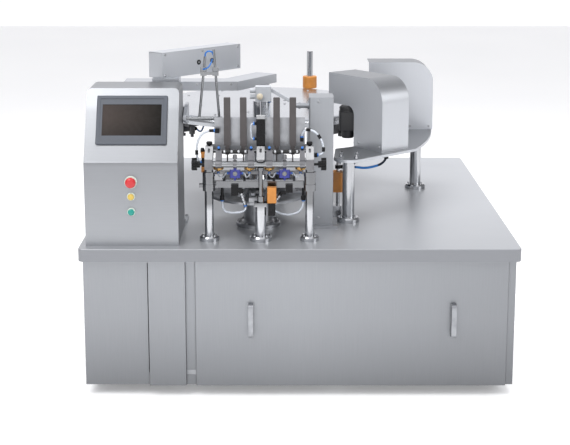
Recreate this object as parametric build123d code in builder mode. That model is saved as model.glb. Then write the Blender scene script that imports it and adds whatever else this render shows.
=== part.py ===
from build123d import *
import os
from math import cos, hypot, radians, sin, tan

os.makedirs("parts", exist_ok=True)

# Rotary vacuum packing machine. Millimetres, +Z up, front towards -Y.
# The origin is on the floor, under the middle of the table top.

# Driving sizes of the base
table_width = 1700.0
table_depth = 1800.0
table_plate = 20.0
table_rim = 50.0
rim_wall = 4.0
table_corner = 22.0
cabinet_height = 512.0
foot_height = 45.0
side_overhang = 12.0
front_overhang = 48.0
frame_tube = 50.0
tube_wall = 3.0
sheet = 2.0
cover_depth = 15.0
seat_gap = 0.3
cover_gap = 2.0

# Driving sizes of the machinery on the table
run_gap = 0.1
rotor_x, rotor_y, rotor_radius = -165.0, -505.0, 196.0
carousel_x, carousel_y, carousel_radius = -150.0, 290.0, 505.0
carousel_top = 383.0
station_count = 12
first_station = -136.0
jaw_count = 4
rail_y, rail_z, rail_radius = -762.0, 303.0, 12.0
bar_y, bar_foot, bar_height, bar_width = -690.0, 364.0, 190.0, 26.0
bar_centres = (-282.0, -219.0, -89.0, -26.0)
pillar_left, pillar_middle, pillar_right = -352.0, -151.0, 40.0
plate_height, plate_thick = 258.0, 12.0

# Derived sizes shared by many pieces
cabinet_foot = foot_height
cabinet_head = foot_height + cabinet_height
table_z = cabinet_head + table_rim
plate_under = table_z - table_plate
body_x = table_width / 2 - side_overhang
front_y = -(table_depth / 2 - front_overhang)
frame_x = body_x - sheet
frame_y = -front_y - sheet
half_tube = frame_tube / 2
low_z = cabinet_foot + half_tube
high_z = plate_under - half_tube
post_x = (-423.0, 150.0)
half_root = 0.5 ** 0.5


def at(height):
    """A level plane at a height above the table top."""
    return Plane.XY.offset(table_z + height)


def hollow(plane, x, y, length):
    """A square hollow section, centred on (x, y) of a plane, along the plane's normal."""
    with BuildSketch(plane) as section:
        with Locations((x, y)):
            Rectangle(frame_tube, frame_tube)
            Rectangle(frame_tube - 2 * tube_wall, frame_tube - 2 * tube_wall, mode=Mode.SUBTRACT)
    extrude(section.sketch, amount=length)


def slab(plane, width, depth, thick, x=0.0, y=0.0, radius=0.0, mode=Mode.ADD):
    """A plate centred on (x, y) of a plane, with rounded corners where a radius is given."""
    with BuildSketch(plane) as outline:
        with Locations((x, y)):
            if radius > 0:
                RectangleRounded(width, depth, radius)
            else:
                Rectangle(width, depth)
    extrude(outline.sketch, amount=thick, mode=mode)


def turned(x, y, profile, base=None):
    """A profile of (radius, height) points turned about the vertical line through (x, y)."""
    origin = (x, y, table_z if base is None else base)
    side = Plane(origin=origin, x_dir=(1, 0, 0), z_dir=(0, -1, 0))
    with BuildSketch(side) as outline:
        with BuildLine():
            Polyline(*profile, close=True)
        make_face()
    revolve(outline.sketch, axis=Axis(origin, (0, 0, 1)))


def lying(x, y, z, profile):
    """A profile of (distance, radius) points turned about a line along +X through a point."""
    origin = (x, y, z)
    side = Plane(origin=origin, x_dir=(1, 0, 0), z_dir=(0, -1, 0))
    with BuildSketch(side) as outline:
        with BuildLine():
            Polyline(*profile, close=True)
        make_face()
    revolve(outline.sketch, axis=Axis(origin, (1, 0, 0)))


def facing(x, z, profile):
    """A profile of (radius, depth) points turned about a line along +Y on the console's front."""
    origin = (x, console_front, table_z + z)
    side = Plane(origin=origin, x_dir=(1, 0, 0), z_dir=(0, 0, 1))
    with BuildSketch(side) as outline:
        with BuildLine():
            Polyline(*profile, close=True)
        make_face()
    revolve(outline.sketch, axis=Axis(origin, (0, 1, 0)))


# Levelling feet: a rubber-soled pad, a threaded stem and a lock nut under the side rails
foot_pad, foot_stem, foot_nut = 30.0, 8.0, 13.0
foot_rows = (-700.0, 0.0, 700.0)
with BuildPart() as levelling_feet:
    for side in (-1, 1):
        for row in foot_rows:
            turned(side * (frame_x - half_tube), row,
                   [(0, 0), (foot_pad, 0), (foot_pad, 7), (foot_stem + 5, 15), (foot_stem, 15),
                    (foot_stem, foot_height - 11), (foot_nut, foot_height - 11),
                    (foot_nut, foot_height), (0, foot_height)], base=0)
levelling_feet.part.label = "levelling_feet"
export_step(levelling_feet.part, "parts/levelling_feet.step")

# Base frame: welded square tube, butted end to end
with BuildPart() as base_frame:
    for y in (-frame_y + half_tube, frame_y - half_tube):
        for z in (low_z, high_z):
            hollow(Plane.YZ.offset(-frame_x), y, z, 2 * frame_x)
    inner_y = frame_y - frame_tube
    for x in (-frame_x + half_tube, frame_x - half_tube) + post_x:
        for z in (low_z, high_z):
            hollow(Plane.XZ.offset(-inner_y), x, z, 2 * inner_y)
    for x in (-frame_x + half_tube, frame_x - half_tube):
        for y in (-frame_y + half_tube, frame_y - half_tube):
            hollow(Plane.XY.offset(low_z + half_tube), x, y, high_z - low_z - frame_tube)
    for y in (-frame_y + half_tube, frame_y - half_tube):
        hollow(Plane.XY.offset(low_z + half_tube), post_x[0], y, high_z - low_z - frame_tube)
base_frame.part.label = "base_frame"
export_step(base_frame.part, "parts/base_frame.step")

# Fixed panels: two sides, three strips of the front and the floor pan
fixed_strips = ((-body_x, -590.0), (-441.0, -406.0), (811.0, body_x))
panel_top = cabinet_head - cover_gap
panel_height = panel_top - cabinet_foot
pan_x = frame_x - frame_tube - cover_gap
with BuildPart() as fixed_panels:
    for x in (-body_x, frame_x):
        slab(Plane.YZ.offset(x), 2 * frame_y, panel_height, sheet, 0, cabinet_foot + panel_height / 2)
    for left, right in fixed_strips:
        slab(Plane.XZ.offset(-front_y), right - left, panel_height, -sheet,
             (left + right) / 2, cabinet_foot + panel_height / 2)
    slab(Plane.XY.offset(low_z + half_tube), 2 * pan_x, 2 * (frame_y - 35), 3.0)
    with Locations((post_x[0], -frame_y, low_z + half_tube), (post_x[0], frame_y, low_z + half_tube)):
        Box(frame_tube + 4, 2 * frame_tube + 4, 20, mode=Mode.SUBTRACT)
fixed_panels.part.label = "fixed_panels"
export_step(fixed_panels.part, "parts/fixed_panels.step")

# Console: a vertical lower front, a crease and a leaning screen face
console_left, console_width = -824.0, 358.0
console_front, console_back = front_y, -520.0
console_crease, console_height, console_lean = 327.0, 592.0, 150.0
console_corner = 20.0
screen_slope = hypot(console_lean, console_height - console_crease)
screen_rise = (console_height - console_crease) / screen_slope
screen_back = console_lean / screen_slope
console_mid = console_left + console_width / 2
screen_height = 476.0
screen_share = (screen_height - console_crease) / (console_height - console_crease)
screen_plane = Plane(
    origin=(console_mid, console_front + console_lean * screen_share, table_z + screen_height),
    x_dir=(1, 0, 0), z_dir=(0, -screen_rise, screen_back))
bezel_width, bezel_height, bezel_thick = 272.0, 200.0, 9.0
glass_width, glass_height, glass_thick = 227.0, 127.0, 1.5
button_x = console_mid
stop_z, yellow_z, green_z = 252.0, 196.0, 136.0
barrel_radius, plunger_radius = 11.0, 8.0

# Rear sheets: the cabinet's back with louvres, and the console's back
with BuildPart() as rear_panels:
    slab(Plane.XZ.offset(-frame_y), 2 * body_x, panel_height, -sheet, 0,
         cabinet_foot + panel_height / 2)
    with BuildSketch(Plane.XZ.offset(-frame_y)) as louvres:
        with Locations((-500.0, cabinet_foot + 330), (500.0, cabinet_foot + 330)):
            with GridLocations(0, 22, 1, 8):
                SlotOverall(180, 8)
    extrude(louvres.sketch, amount=-sheet, mode=Mode.SUBTRACT)
    back_width, back_height = console_width - 2 * sheet - 1, console_height - sheet - 1
    slab(Plane.XZ.offset(-console_back), back_width, back_height, sheet,
         console_mid, table_z + back_height / 2, radius=console_corner)
rear_panels.part.label = "rear_panels"
export_step(rear_panels.part, "parts/rear_panels.step")


def tray(left, right):
    """A lift-off front cover: a folded tray whose returns end just before the frame."""
    face = Plane.XZ.offset(-front_y + cover_depth)
    slab(face, right - left, panel_height - 2, -(cover_depth + sheet - seat_gap),
         (left + right) / 2, cabinet_foot + panel_height / 2)


# Front covers: a narrow one under the console and the wide lift-off one
with BuildPart() as narrow_cover:
    tray(-586.0, -442.0)
    fillet(narrow_cover.edges().filter_by(Axis.Z).group_by(Axis.Y)[0], 3.0)
    offset(amount=-sheet, openings=narrow_cover.faces().sort_by(Axis.Y)[-1])
narrow_cover.part.label = "narrow_cover"
export_step(narrow_cover.part, "parts/narrow_cover.step")

with BuildPart() as front_cover:
    tray(-404.0, 808.0)
    fillet(front_cover.edges().filter_by(Axis.Z).group_by(Axis.Y)[0], 3.0)
    offset(amount=-sheet, openings=front_cover.faces().sort_by(Axis.Y)[-1])
front_cover.part.label = "front_cover"
export_step(front_cover.part, "parts/front_cover.step")

# Bow handles of the wide cover: one bent strap each
handle_x = (-189.0, 597.0)
handle_z = table_z - 291.0
handle_length, handle_reach, handle_width, handle_strap = 135.0, 28.0, 19.0, 6.0
cover_face = front_y - cover_depth
with BuildPart() as cover_handles:
    for x in handle_x:
        with BuildSketch(Plane.YZ.offset(x - handle_width / 2)) as bow:
            with Locations((cover_face, handle_z)):
                RectangleRounded(2 * handle_reach, handle_length, 15.0)
                RectangleRounded(2 * (handle_reach - handle_strap),
                                 handle_length - 2 * handle_strap, 9.0, mode=Mode.SUBTRACT)
            with Locations((cover_face + handle_reach, handle_z)):
                Rectangle(2 * handle_reach, 2 * handle_length, mode=Mode.SUBTRACT)
        extrude(bow.sketch, amount=handle_width)
cover_handles.part.label = "cover_handles"
export_step(cover_handles.part, "parts/cover_handles.step")

# Fixed stems and the hollow shafts that turn about them
rotor_stem, rotor_shaft, rotor_housing = 20.0, 35.0, 60.0
carousel_stem, carousel_shaft, carousel_housing = 25.0, 60.0, 95.0
stem_foot, shaft_foot = -112.0, -108.0
rotor_seat, carousel_seat = 111.0, 300.0
duct_under = 480.0
sensor_z = 512.0

# Table top: a thick plate with a folded rim, bored for the two turrets and the cables
with BuildPart() as table_top:
    with BuildSketch(Plane.XY.offset(table_z - table_rim)):
        RectangleRounded(table_width, table_depth, table_corner)
    extrude(amount=table_rim)
    fillet(table_top.faces().sort_by(Axis.Z)[-1].edges(), 3.0)
    slab(Plane.XY.offset(table_z - table_rim), table_width - 2 * rim_wall, table_depth - 2 * rim_wall,
         table_rim - table_plate, radius=table_corner - rim_wall, mode=Mode.SUBTRACT)
    with BuildSketch(Plane.XY.offset(plate_under)) as bores:
        with Locations((rotor_x, rotor_y)):
            Circle(rotor_shaft + 4)
        with Locations((carousel_x, carousel_y)):
            Circle(carousel_shaft + 4)
        with Locations((console_mid, (console_front + console_back) / 2)):
            RectangleRounded(200, 150, 10)
    extrude(bores.sketch, amount=table_plate, mode=Mode.SUBTRACT)
table_top.part.label = "table_top"
export_step(table_top.part, "parts/table_top.step")

# Console shell: folded sheet, open at the back and below
with BuildPart() as console_shell:
    with BuildSketch(Plane.YZ.offset(console_left)):
        with BuildLine():
            Polyline((console_front, table_z), (console_front, table_z + console_crease),
                     (console_front + console_lean, table_z + console_height),
                     (console_back, table_z + console_height), (console_back, table_z), close=True)
        make_face()
    extrude(amount=console_width)
    roof = console_shell.faces().sort_by(Axis.Z)[-1]
    fillet(roof.edges().filter_by(Axis.Y), console_corner)
    backs = console_shell.faces().filter_by(Axis.Y).sort_by(Axis.Y)[-1]
    floor = console_shell.faces().sort_by(Axis.Z)[0]
    offset(amount=-sheet, openings=[backs, floor])
    slab(screen_plane.offset(-20), bezel_width - 12, bezel_height - 12, 40, mode=Mode.SUBTRACT)
    with BuildSketch(Plane.XZ.offset(-console_front)) as holes:
        with Locations(*[(button_x, table_z + z) for z in (stop_z, yellow_z, green_z)]):
            Circle(barrel_radius + run_gap)
    extrude(holes.sketch, amount=-2 * sheet, mode=Mode.SUBTRACT)
console_shell.part.label = "console_shell"
export_step(console_shell.part, "parts/console_shell.step")

# Operator panel: a stepped bezel in front of the sheet and its case behind it
with BuildPart() as hmi_bezel:
    slab(screen_plane, bezel_width, bezel_height, bezel_thick, radius=5)
    chamfer(hmi_bezel.faces().sort_by(Axis(screen_plane.origin, screen_plane.z_dir))[-1].edges(), 2.5)
    slab(screen_plane.offset(bezel_thick), bezel_width - 26, bezel_height - 26, -2.0,
         radius=3, mode=Mode.SUBTRACT)
    slab(screen_plane.offset(bezel_thick), glass_width + 0.4, glass_height + 0.4, -5.0,
         mode=Mode.SUBTRACT)
    slab(screen_plane, bezel_width - 14, bezel_height - 14, -38.0)
hmi_bezel.part.label = "hmi_bezel"
export_step(hmi_bezel.part, "parts/hmi_bezel.step")

with BuildPart() as hmi_screen:
    slab(screen_plane.offset(bezel_thick - 5.0), glass_width, glass_height, glass_thick)
hmi_screen.part.label = "hmi_screen"
export_step(hmi_screen.part, "parts/hmi_screen.step")

# Button collars: a flange outside, a barrel through the sheet and a nut behind it
collar_thick, barrel_length, nut_radius = 6.0, 30.0, 15.0
with BuildPart() as button_collars:
    for z, flange in ((stop_z, 24.0), (yellow_z, 15.5), (green_z, 15.5)):
        bore = plunger_radius + run_gap
        facing(button_x, z, [
            (bore, -collar_thick), (flange - 1.5, -collar_thick), (flange, -collar_thick + 1.5),
            (flange, 0), (barrel_radius, 0), (barrel_radius, sheet), (nut_radius, sheet),
            (nut_radius, sheet + 5), (barrel_radius, sheet + 5), (barrel_radius, barrel_length),
            (bore, barrel_length)])
button_collars.part.label = "button_collars"
export_step(button_collars.part, "parts/button_collars.step")

# Push buttons: a mushroom head and two small domed caps, each on its plunger
stop_travel, push_travel = 5.0, 4.0
with BuildPart() as stop_button:
    neck = -collar_thick - stop_travel
    facing(button_x, stop_z, [(0, neck - 14), (12, neck - 13.5), (18, neck - 11), (20.5, neck - 7),
                              (20.5, neck - 3), (18, neck), (plunger_radius, neck),
                              (plunger_radius, barrel_length - 6), (0, barrel_length - 6)])
stop_button.part.label = "stop_button"
export_step(stop_button.part, "parts/stop_button.step")

push_profile = [(0, -collar_thick - push_travel - 6), (9, -collar_thick - push_travel - 5.2),
                (12.5, -collar_thick - push_travel - 2), (12.5, -collar_thick - push_travel),
                (plunger_radius, -collar_thick - push_travel), (plunger_radius, barrel_length - 6),
                (0, barrel_length - 6)]
with BuildPart() as yellow_button:
    facing(button_x, yellow_z, push_profile)
yellow_button.part.label = "yellow_button"
export_step(yellow_button.part, "parts/yellow_button.step")

with BuildPart() as green_button:
    facing(button_x, green_z, push_profile)
green_button.part.label = "green_button"
export_step(green_button.part, "parts/green_button.step")

# Duct posts: a box column with a bearing ear behind the console, and a slim one under the low duct
post_left, post_front, post_width, post_depth = -593.0, -473.0, 110.0, 80.0
high_duct_under = 597.0
foot_plate = 8.0
post_mid_x, post_mid_y = post_left + post_width / 2, post_front + post_depth / 2
slim_x, slim_y, slim_size = -735.0, 50.0, 60.0
swing_y, swing_z, swing_shaft_radius = -572.0, 452.0, 7.0
bracket_x, ear_thick, ear_reach = -462.0, 12.0, 70.0
with BuildPart() as duct_posts:
    slab(at(0), post_width + 44, post_depth + 30, foot_plate, post_mid_x + 2, post_mid_y)
    slab(at(foot_plate), post_width, post_depth, high_duct_under - foot_plate,
         post_mid_x, post_mid_y)
    slab(at(0), post_width - 6, post_depth - 6, high_duct_under - 4, post_mid_x, post_mid_y,
         mode=Mode.SUBTRACT)
    slab(at(0), slim_size + 40, slim_size + 40, foot_plate, slim_x, slim_y)
    slab(at(foot_plate), slim_size, slim_size, duct_under - foot_plate, slim_x, slim_y)
    slab(at(0), slim_size - 6, slim_size - 6, duct_under - 4, slim_x, slim_y, mode=Mode.SUBTRACT)
    with BuildSketch(Plane.YZ.offset(bracket_x)) as ear:
        with BuildLine():
            Polyline((swing_y, table_z + swing_z - 14), (post_front, table_z + swing_z - 40),
                     (post_front + ear_reach, table_z + swing_z - 40),
                     (post_front + ear_reach, table_z + swing_z + 40), (post_front, table_z + swing_z + 40),
                     (swing_y, table_z + swing_z + 14), close=True)
        make_face()
        with Locations((swing_y, table_z + swing_z)):
            Circle(14)
            Circle(swing_shaft_radius + run_gap, mode=Mode.SUBTRACT)
    extrude(ear.sketch, amount=ear_thick)
    spacer = bracket_x - post_left - post_width
    slab(Plane.YZ.offset(bracket_x - spacer), ear_reach - 12, 60, spacer,
         post_front + ear_reach / 2, table_z + swing_z)
duct_posts.part.label = "duct_posts"
export_step(duct_posts.part, "parts/duct_posts.step")

# Upper duct: a closed box section that runs back and to the right from the post
duct_turn = 48.0
duct_length, duct_width, duct_height = 455.0, 80.0, 105.0
duct_plane = Plane(origin=(-550.0, -476.0, table_z + high_duct_under),
                   x_dir=(cos(radians(duct_turn)), sin(radians(duct_turn)), 0), z_dir=(0, 0, 1))
with BuildPart() as upper_duct:
    slab(duct_plane, duct_length, duct_width, duct_height, duct_length / 2, duct_width / 2)
    fillet(upper_duct.faces().sort_by(Axis.Z)[-1].edges(), 4.0)
    offset(amount=-sheet, openings=upper_duct.faces().sort_by(Axis.Z)[0])
    slab(duct_plane, duct_length - 2 * sheet - 1, duct_width - 2 * sheet - 1, sheet,
         duct_length / 2, duct_width / 2)

# Lower duct: a flat channel with a dogleg, closed by a lid below
low_start, low_bend, low_end = (-763.0, -6.0), (-260.0, -6.0), (-92.0, 257.0)
low_depth, low_tall = 110.0, 40.0
run_x, run_y = low_end[0] - low_bend[0], low_end[1] - low_bend[1]
run_length = hypot(run_x, run_y)
left_x, left_y = -run_y / run_length, run_x / run_length
mitre = low_depth * (run_length - run_x) / run_y


def duct_outline(inset):
    """The dogleg plan of the low duct, set in by a distance on its long sides and ends."""
    near = low_start[1] + inset
    far = low_start[1] + low_depth - inset
    share_near, share_far = mitre * inset / low_depth, mitre * (low_depth - inset) / low_depth
    end_x, end_y = low_end[0] - inset * run_x / run_length, low_end[1] - inset * run_y / run_length
    Polyline((low_start[0] + inset, near), (low_bend[0] - share_near, near),
             (end_x + left_x * inset, end_y + left_y * inset),
             (end_x + left_x * (low_depth - inset), end_y + left_y * (low_depth - inset)),
             (low_bend[0] - share_far, far), (low_start[0] + inset, far), close=True)


with BuildPart() as cable_ducts:
    with BuildSketch(at(duct_under)):
        with BuildLine():
            duct_outline(0)
        make_face()
    extrude(amount=low_tall)
    with BuildSketch(at(duct_under)):
        with BuildLine():
            duct_outline(sheet)
        make_face()
    extrude(amount=low_tall - sheet, mode=Mode.SUBTRACT)
    with BuildSketch(at(duct_under)):
        with BuildLine():
            duct_outline(sheet + 0.3)
        make_face()
    extrude(amount=sheet)
    add(upper_duct.part)
cable_ducts.part.label = "cable_ducts"
export_step(cable_ducts.part, "parts/cable_ducts.step")

# Turret housings: flanged bearing barrels that carry the rotor and the carousel
with BuildPart() as turret_housings:
    turned(rotor_x, rotor_y, [
        (rotor_shaft + run_gap, 0), (90, 0), (90, 13), (87, 16), (rotor_housing + 6, 16),
        (rotor_housing, 24), (rotor_housing, rotor_seat - 14), (rotor_housing - 10, rotor_seat - 6),
        (rotor_housing - 10, rotor_seat - seat_gap), (rotor_shaft + run_gap, rotor_seat - seat_gap)])
    turned(carousel_x, carousel_y, [
        (carousel_shaft + run_gap, 0), (150, 0), (150, 22), (146, 26), (108, 26),
        (carousel_housing, 40), (carousel_housing - 8, carousel_seat - 40),
        (carousel_housing + 14, carousel_seat - 24), (carousel_housing + 14, carousel_seat - seat_gap),
        (carousel_shaft + run_gap, carousel_seat - seat_gap)])
turret_housings.part.label = "turret_housings"
export_step(turret_housings.part, "parts/turret_housings.step")

# Turret stems: the still centre posts, with the cam plate that opens the jaws
cam_radius, cam_low, cam_high = 150.0, 186.0, 196.0
with BuildPart() as turret_stems:
    turned(rotor_x, rotor_y, [
        (0, stem_foot), (rotor_stem, stem_foot), (rotor_stem, cam_low - 12), (44, cam_low - 8),
        (44, cam_low), (cam_radius - 4, cam_low), (cam_radius, cam_low + 4), (cam_radius, cam_high - 2),
        (cam_radius - 2, cam_high), (38, cam_high), (34, cam_high + 16), (rotor_stem, cam_high + 16),
        (rotor_stem, sensor_z), (0, sensor_z)])
    turned(carousel_x, carousel_y, [
        (0, stem_foot), (carousel_stem, stem_foot), (carousel_stem, duct_under - 8),
        (carousel_stem + 9, duct_under - 8), (carousel_stem + 9, duct_under), (0, duct_under)])
turret_stems.part.label = "turret_stems"
export_step(turret_stems.part, "parts/turret_stems.step")

# Index boxes under the table: they step the two turrets and are driven by one line shaft
line_x, line_z, line_radius = -152.0, -190.0, 15.0
box_foot = -240.0
box_plate = -table_plate
box_bore = box_plate - stem_foot
with BuildPart() as index_boxes:
    for x, y, size, bore in ((rotor_x, rotor_y, 260.0, rotor_shaft),
                             (carousel_x, carousel_y, 300.0, carousel_shaft)):
        slab(at(box_foot), size, size, box_plate - box_foot, x, y, radius=24)
        with BuildSketch(at(stem_foot)) as socket:
            with Locations((x, y)):
                Circle(bore + run_gap)
        extrude(socket.sketch, amount=box_bore, mode=Mode.SUBTRACT)
    with BuildSketch(Plane.XZ.offset(-table_depth / 2)) as line_bore:
        with Locations((line_x, table_z + line_z)):
            Circle(line_radius + run_gap)
    extrude(line_bore.sketch, amount=table_depth, mode=Mode.SUBTRACT)
index_boxes.part.label = "index_boxes"
export_step(index_boxes.part, "parts/index_boxes.step")

# Line shaft: one shaft through both boxes, with a coupling flange and a toothed pulley
shaft_front, shaft_back = rotor_y - 160.0, carousel_y + 180.0
pulley_y, pulley_radius, pulley_width, tooth_count = -100.0, 70.0, 40.0, 28
with BuildPart() as line_shaft:
    with BuildSketch(Plane.XZ.offset(-shaft_back)) as shaft_round:
        with Locations((line_x, table_z + line_z)):
            Circle(line_radius)
    extrude(shaft_round.sketch, amount=shaft_back - shaft_front)
    with BuildSketch(Plane.XZ.offset(-pulley_y)) as pulley:
        with Locations((line_x, table_z + line_z)):
            Circle(pulley_radius)
            with PolarLocations(pulley_radius, tooth_count):
                Rectangle(7, 7, mode=Mode.SUBTRACT)
    extrude(pulley.sketch, amount=pulley_width)
line_shaft.part.label = "line_shaft"
export_step(line_shaft.part, "parts/line_shaft.step")

# Main gearmotor: it stands on the floor pan, and its toothed belt turns the line shaft
motor_z = 98.0 + 75.0 - table_z
motor_radius = 62.0
belt_gap = 0.3
drop = line_z - motor_z
with BuildPart() as main_gearmotor:
    slab(Plane.XY.offset(low_z + half_tube + 3.0), 150, 240, 12, line_x, pulley_y + 175, radius=8)
    slab(Plane.XY.offset(low_z + half_tube + 15.0), 120, 130, 120, line_x, pulley_y + 125, radius=10)
    with BuildSketch(Plane.XZ.offset(-(pulley_y + 190))) as can:
        with Locations((line_x, table_z + motor_z)):
            Circle(motor_radius)
            with PolarLocations(motor_radius, 24):
                Rectangle(6, 4)
    extrude(can.sketch, amount=-170)
    with BuildSketch(Plane.XZ.offset(-(pulley_y + 60))) as stub:
        with Locations((line_x, table_z + motor_z)):
            Circle(14)
    extrude(stub.sketch, amount=60 + pulley_width)
    with BuildSketch(Plane.XZ.offset(-pulley_y)) as small_pulley:
        with Locations((line_x, table_z + motor_z)):
            Circle(36)
    extrude(small_pulley.sketch, amount=pulley_width)
main_gearmotor.part.label = "main_gearmotor"
export_step(main_gearmotor.part, "parts/main_gearmotor.step")

with BuildPart() as drive_belt:
    with BuildSketch(Plane.XZ.offset(-(pulley_y - 5))) as loop:
        with BuildLine():
            reach = (pulley_radius - 36) / drop
            rise = (1 - reach * reach) ** 0.5
            big, small = pulley_radius + belt_gap, 36 + belt_gap
            upper_z, under_z = table_z + line_z, table_z + motor_z
            right_top = (line_x + big * rise, upper_z - big * reach)
            left_top = (line_x - big * rise, upper_z - big * reach)
            right_low = (line_x + small * rise, under_z - small * reach)
            left_low = (line_x - small * rise, under_z - small * reach)
            ThreePointArc(right_top, (line_x, upper_z + big), left_top)
            Line(left_top, left_low)
            ThreePointArc(left_low, (line_x, under_z - small), right_low)
            Line(right_low, right_top)
        make_face()
    with BuildSketch(Plane.XZ.offset(-(pulley_y - 5))) as outer_loop:
        add(offset(loop.sketch, amount=5.0, mode=Mode.PRIVATE))
        add(loop.sketch, mode=Mode.SUBTRACT)
    extrude(outer_loop.sketch, amount=pulley_width - 10)
drive_belt.part.label = "drive_belt"
export_step(drive_belt.part, "parts/drive_belt.step")

# Carousel table: hollow shaft, hub and ring plate, with spacers that carry the cover
ring_low, ring_thick = 350.0, 8.0
cover_sheet = 3.0
spacer_circle, spacer_radius = 420.0, 10.0
with BuildPart() as carousel_table:
    turned(carousel_x, carousel_y, [
        (carousel_stem + run_gap, shaft_foot), (carousel_shaft, shaft_foot),
        (carousel_shaft, carousel_seat), (130, carousel_seat), (130, carousel_seat + 14),
        (95, ring_low - 12), (95, ring_low), (carousel_radius - 8, ring_low),
        (carousel_radius - 8, ring_low + ring_thick), (carousel_stem + run_gap, ring_low + ring_thick)])
    with BuildSketch(at(ring_low)) as windows:
        with Locations((carousel_x, carousel_y)):
            with PolarLocations(260, 6):
                Circle(80)
    extrude(windows.sketch, amount=ring_thick, mode=Mode.SUBTRACT)
    with BuildSketch(at(ring_low + ring_thick)) as spacers:
        with Locations((carousel_x, carousel_y)):
            with PolarLocations(spacer_circle, station_count):
                Circle(spacer_radius)
    extrude(spacers.sketch, amount=carousel_top - cover_sheet - ring_low - ring_thick)
carousel_table.part.label = "carousel_table"
export_step(carousel_table.part, "parts/carousel_table.step")

# Carousel cover: a polished pan turned upside down, with a rolled edge
cover_edge = 22.0
with BuildPart() as carousel_cover:
    side = Plane(origin=(carousel_x, carousel_y, table_z), x_dir=(1, 0, 0), z_dir=(0, -1, 0))
    inner, outer = carousel_radius - cover_sheet, carousel_radius
    under = carousel_top - cover_sheet
    hole = carousel_stem + 6
    bend, bend_in = cover_edge, cover_edge - cover_sheet
    with BuildSketch(side) as pan:
        with BuildLine():
            Line((hole, carousel_top), (outer - bend, carousel_top))
            ThreePointArc((outer - bend, carousel_top),
                          (outer - bend * (1 - half_root), carousel_top - bend * (1 - half_root)),
                          (outer, carousel_top - bend))
            Polyline((outer, carousel_top - bend), (outer, ring_low - 4), (inner, ring_low - 4),
                     (inner, under - bend_in))
            ThreePointArc((inner, under - bend_in),
                          (inner - bend_in * (1 - half_root), under - bend_in * (1 - half_root)),
                          (inner - bend_in, under))
            Polyline((inner - bend_in, under), (hole, under), (hole, carousel_top))
        make_face()
    revolve(pan.sketch, axis=Axis((carousel_x, carousel_y, 0), (0, 0, 1)))
carousel_cover.part.label = "carousel_cover"
export_step(carousel_cover.part, "parts/carousel_cover.step")

# Station units under the ring, at even steps: a slotted block, a valve body, a short air cylinder,
# and a lever on a pin in the slot with a pad at its foot
block_low, block_circle = 331.0, 466.0
valve_deep, valve_wide, valve_tall, valve_side = 44.0, 34.0, 31.0, -26.0
barrel_in, barrel_side, barrel_tall, nose_tall = -6.0, 26.0, 36.0, 14.0
lever_half, slot_half, pad_half = 4.0, 15.0, 9.0
with BuildPart() as station_units:
    with BuildSketch(at(block_low)) as blocks:
        with Locations((carousel_x, carousel_y)):
            with PolarLocations(block_circle, station_count, start_angle=first_station):
                RectangleRounded(58, 96, 6)
                with Locations((14, 0)):
                    Rectangle(32, 2 * slot_half, mode=Mode.SUBTRACT)
    extrude(blocks.sketch, amount=ring_low - block_low)
    with BuildSketch(at(block_low)) as valves:
        with Locations((carousel_x, carousel_y)):
            with PolarLocations(block_circle, station_count, start_angle=first_station):
                with Locations((0, valve_side)):
                    Rectangle(valve_deep, valve_wide)
    extrude(valves.sketch, amount=-valve_tall)
    with BuildSketch(at(block_low)) as barrels:
        with Locations((carousel_x, carousel_y)):
            with PolarLocations(block_circle, station_count, start_angle=first_station):
                with Locations((barrel_in, barrel_side)):
                    Circle(13)
    extrude(barrels.sketch, amount=-barrel_tall)
    with BuildSketch(at(block_low - barrel_tall)) as noses:
        with Locations((carousel_x, carousel_y)):
            with PolarLocations(block_circle, station_count, start_angle=first_station):
                with Locations((barrel_in, barrel_side)):
                    Circle(7)
    extrude(noses.sketch, amount=-nose_tall)
    for index in range(station_count):
        turn = radians(first_station + index * 360 / station_count)
        radial = Plane(origin=(carousel_x, carousel_y, table_z), x_dir=(cos(turn), sin(turn), 0),
                       z_dir=(sin(turn), -cos(turn), 0))
        with BuildSketch(radial.offset(-lever_half)) as lever:
            with BuildLine():
                Polyline((block_circle + 2, block_low + 12), (block_circle + 22, block_low + 12),
                         (block_circle + 34, block_low - 14), (block_circle + 30, block_low - 34),
                         (block_circle + 22, block_low - 32), (block_circle + 22, block_low - 12),
                         (block_circle + 2, block_low + 2), close=True)
            make_face()
        extrude(lever.sketch, amount=2 * lever_half)
        with BuildSketch(radial.offset(-slot_half)) as pin:
            with Locations((block_circle + 12, block_low + 8)):
                Circle(3.5)
        extrude(pin.sketch, amount=2 * slot_half)
        with BuildSketch(radial.offset(-pad_half)) as pad:
            with Locations((block_circle + 25, block_low - 38)):
                Rectangle(18, 12)
        extrude(pad.sketch, amount=2 * pad_half)
station_units.part.label = "station_units"
export_step(station_units.part, "parts/station_units.step")

# Rotor disc: hollow shaft, hub flange and disc that carry the gripper stations
disc_low, disc_high = 125.0, 137.0
with BuildPart() as rotor_disc:
    turned(rotor_x, rotor_y, [
        (rotor_stem + run_gap, shaft_foot), (rotor_shaft, shaft_foot), (rotor_shaft, rotor_seat),
        (56, rotor_seat), (56, disc_low), (rotor_radius, disc_low), (rotor_radius, disc_high - 3),
        (rotor_radius - 3, disc_high), (48, disc_high), (44, disc_high + 22),
        (rotor_stem + run_gap, disc_high + 22)])
    with BuildSketch(at(disc_low)) as lightening:
        with Locations((rotor_x, rotor_y)):
            with PolarLocations(92, jaw_count, start_angle=45):
                Circle(26)
    extrude(lightening.sketch, amount=disc_high - disc_low, mode=Mode.SUBTRACT)
rotor_disc.part.label = "rotor_disc"
export_step(rotor_disc.part, "parts/rotor_disc.step")

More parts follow.
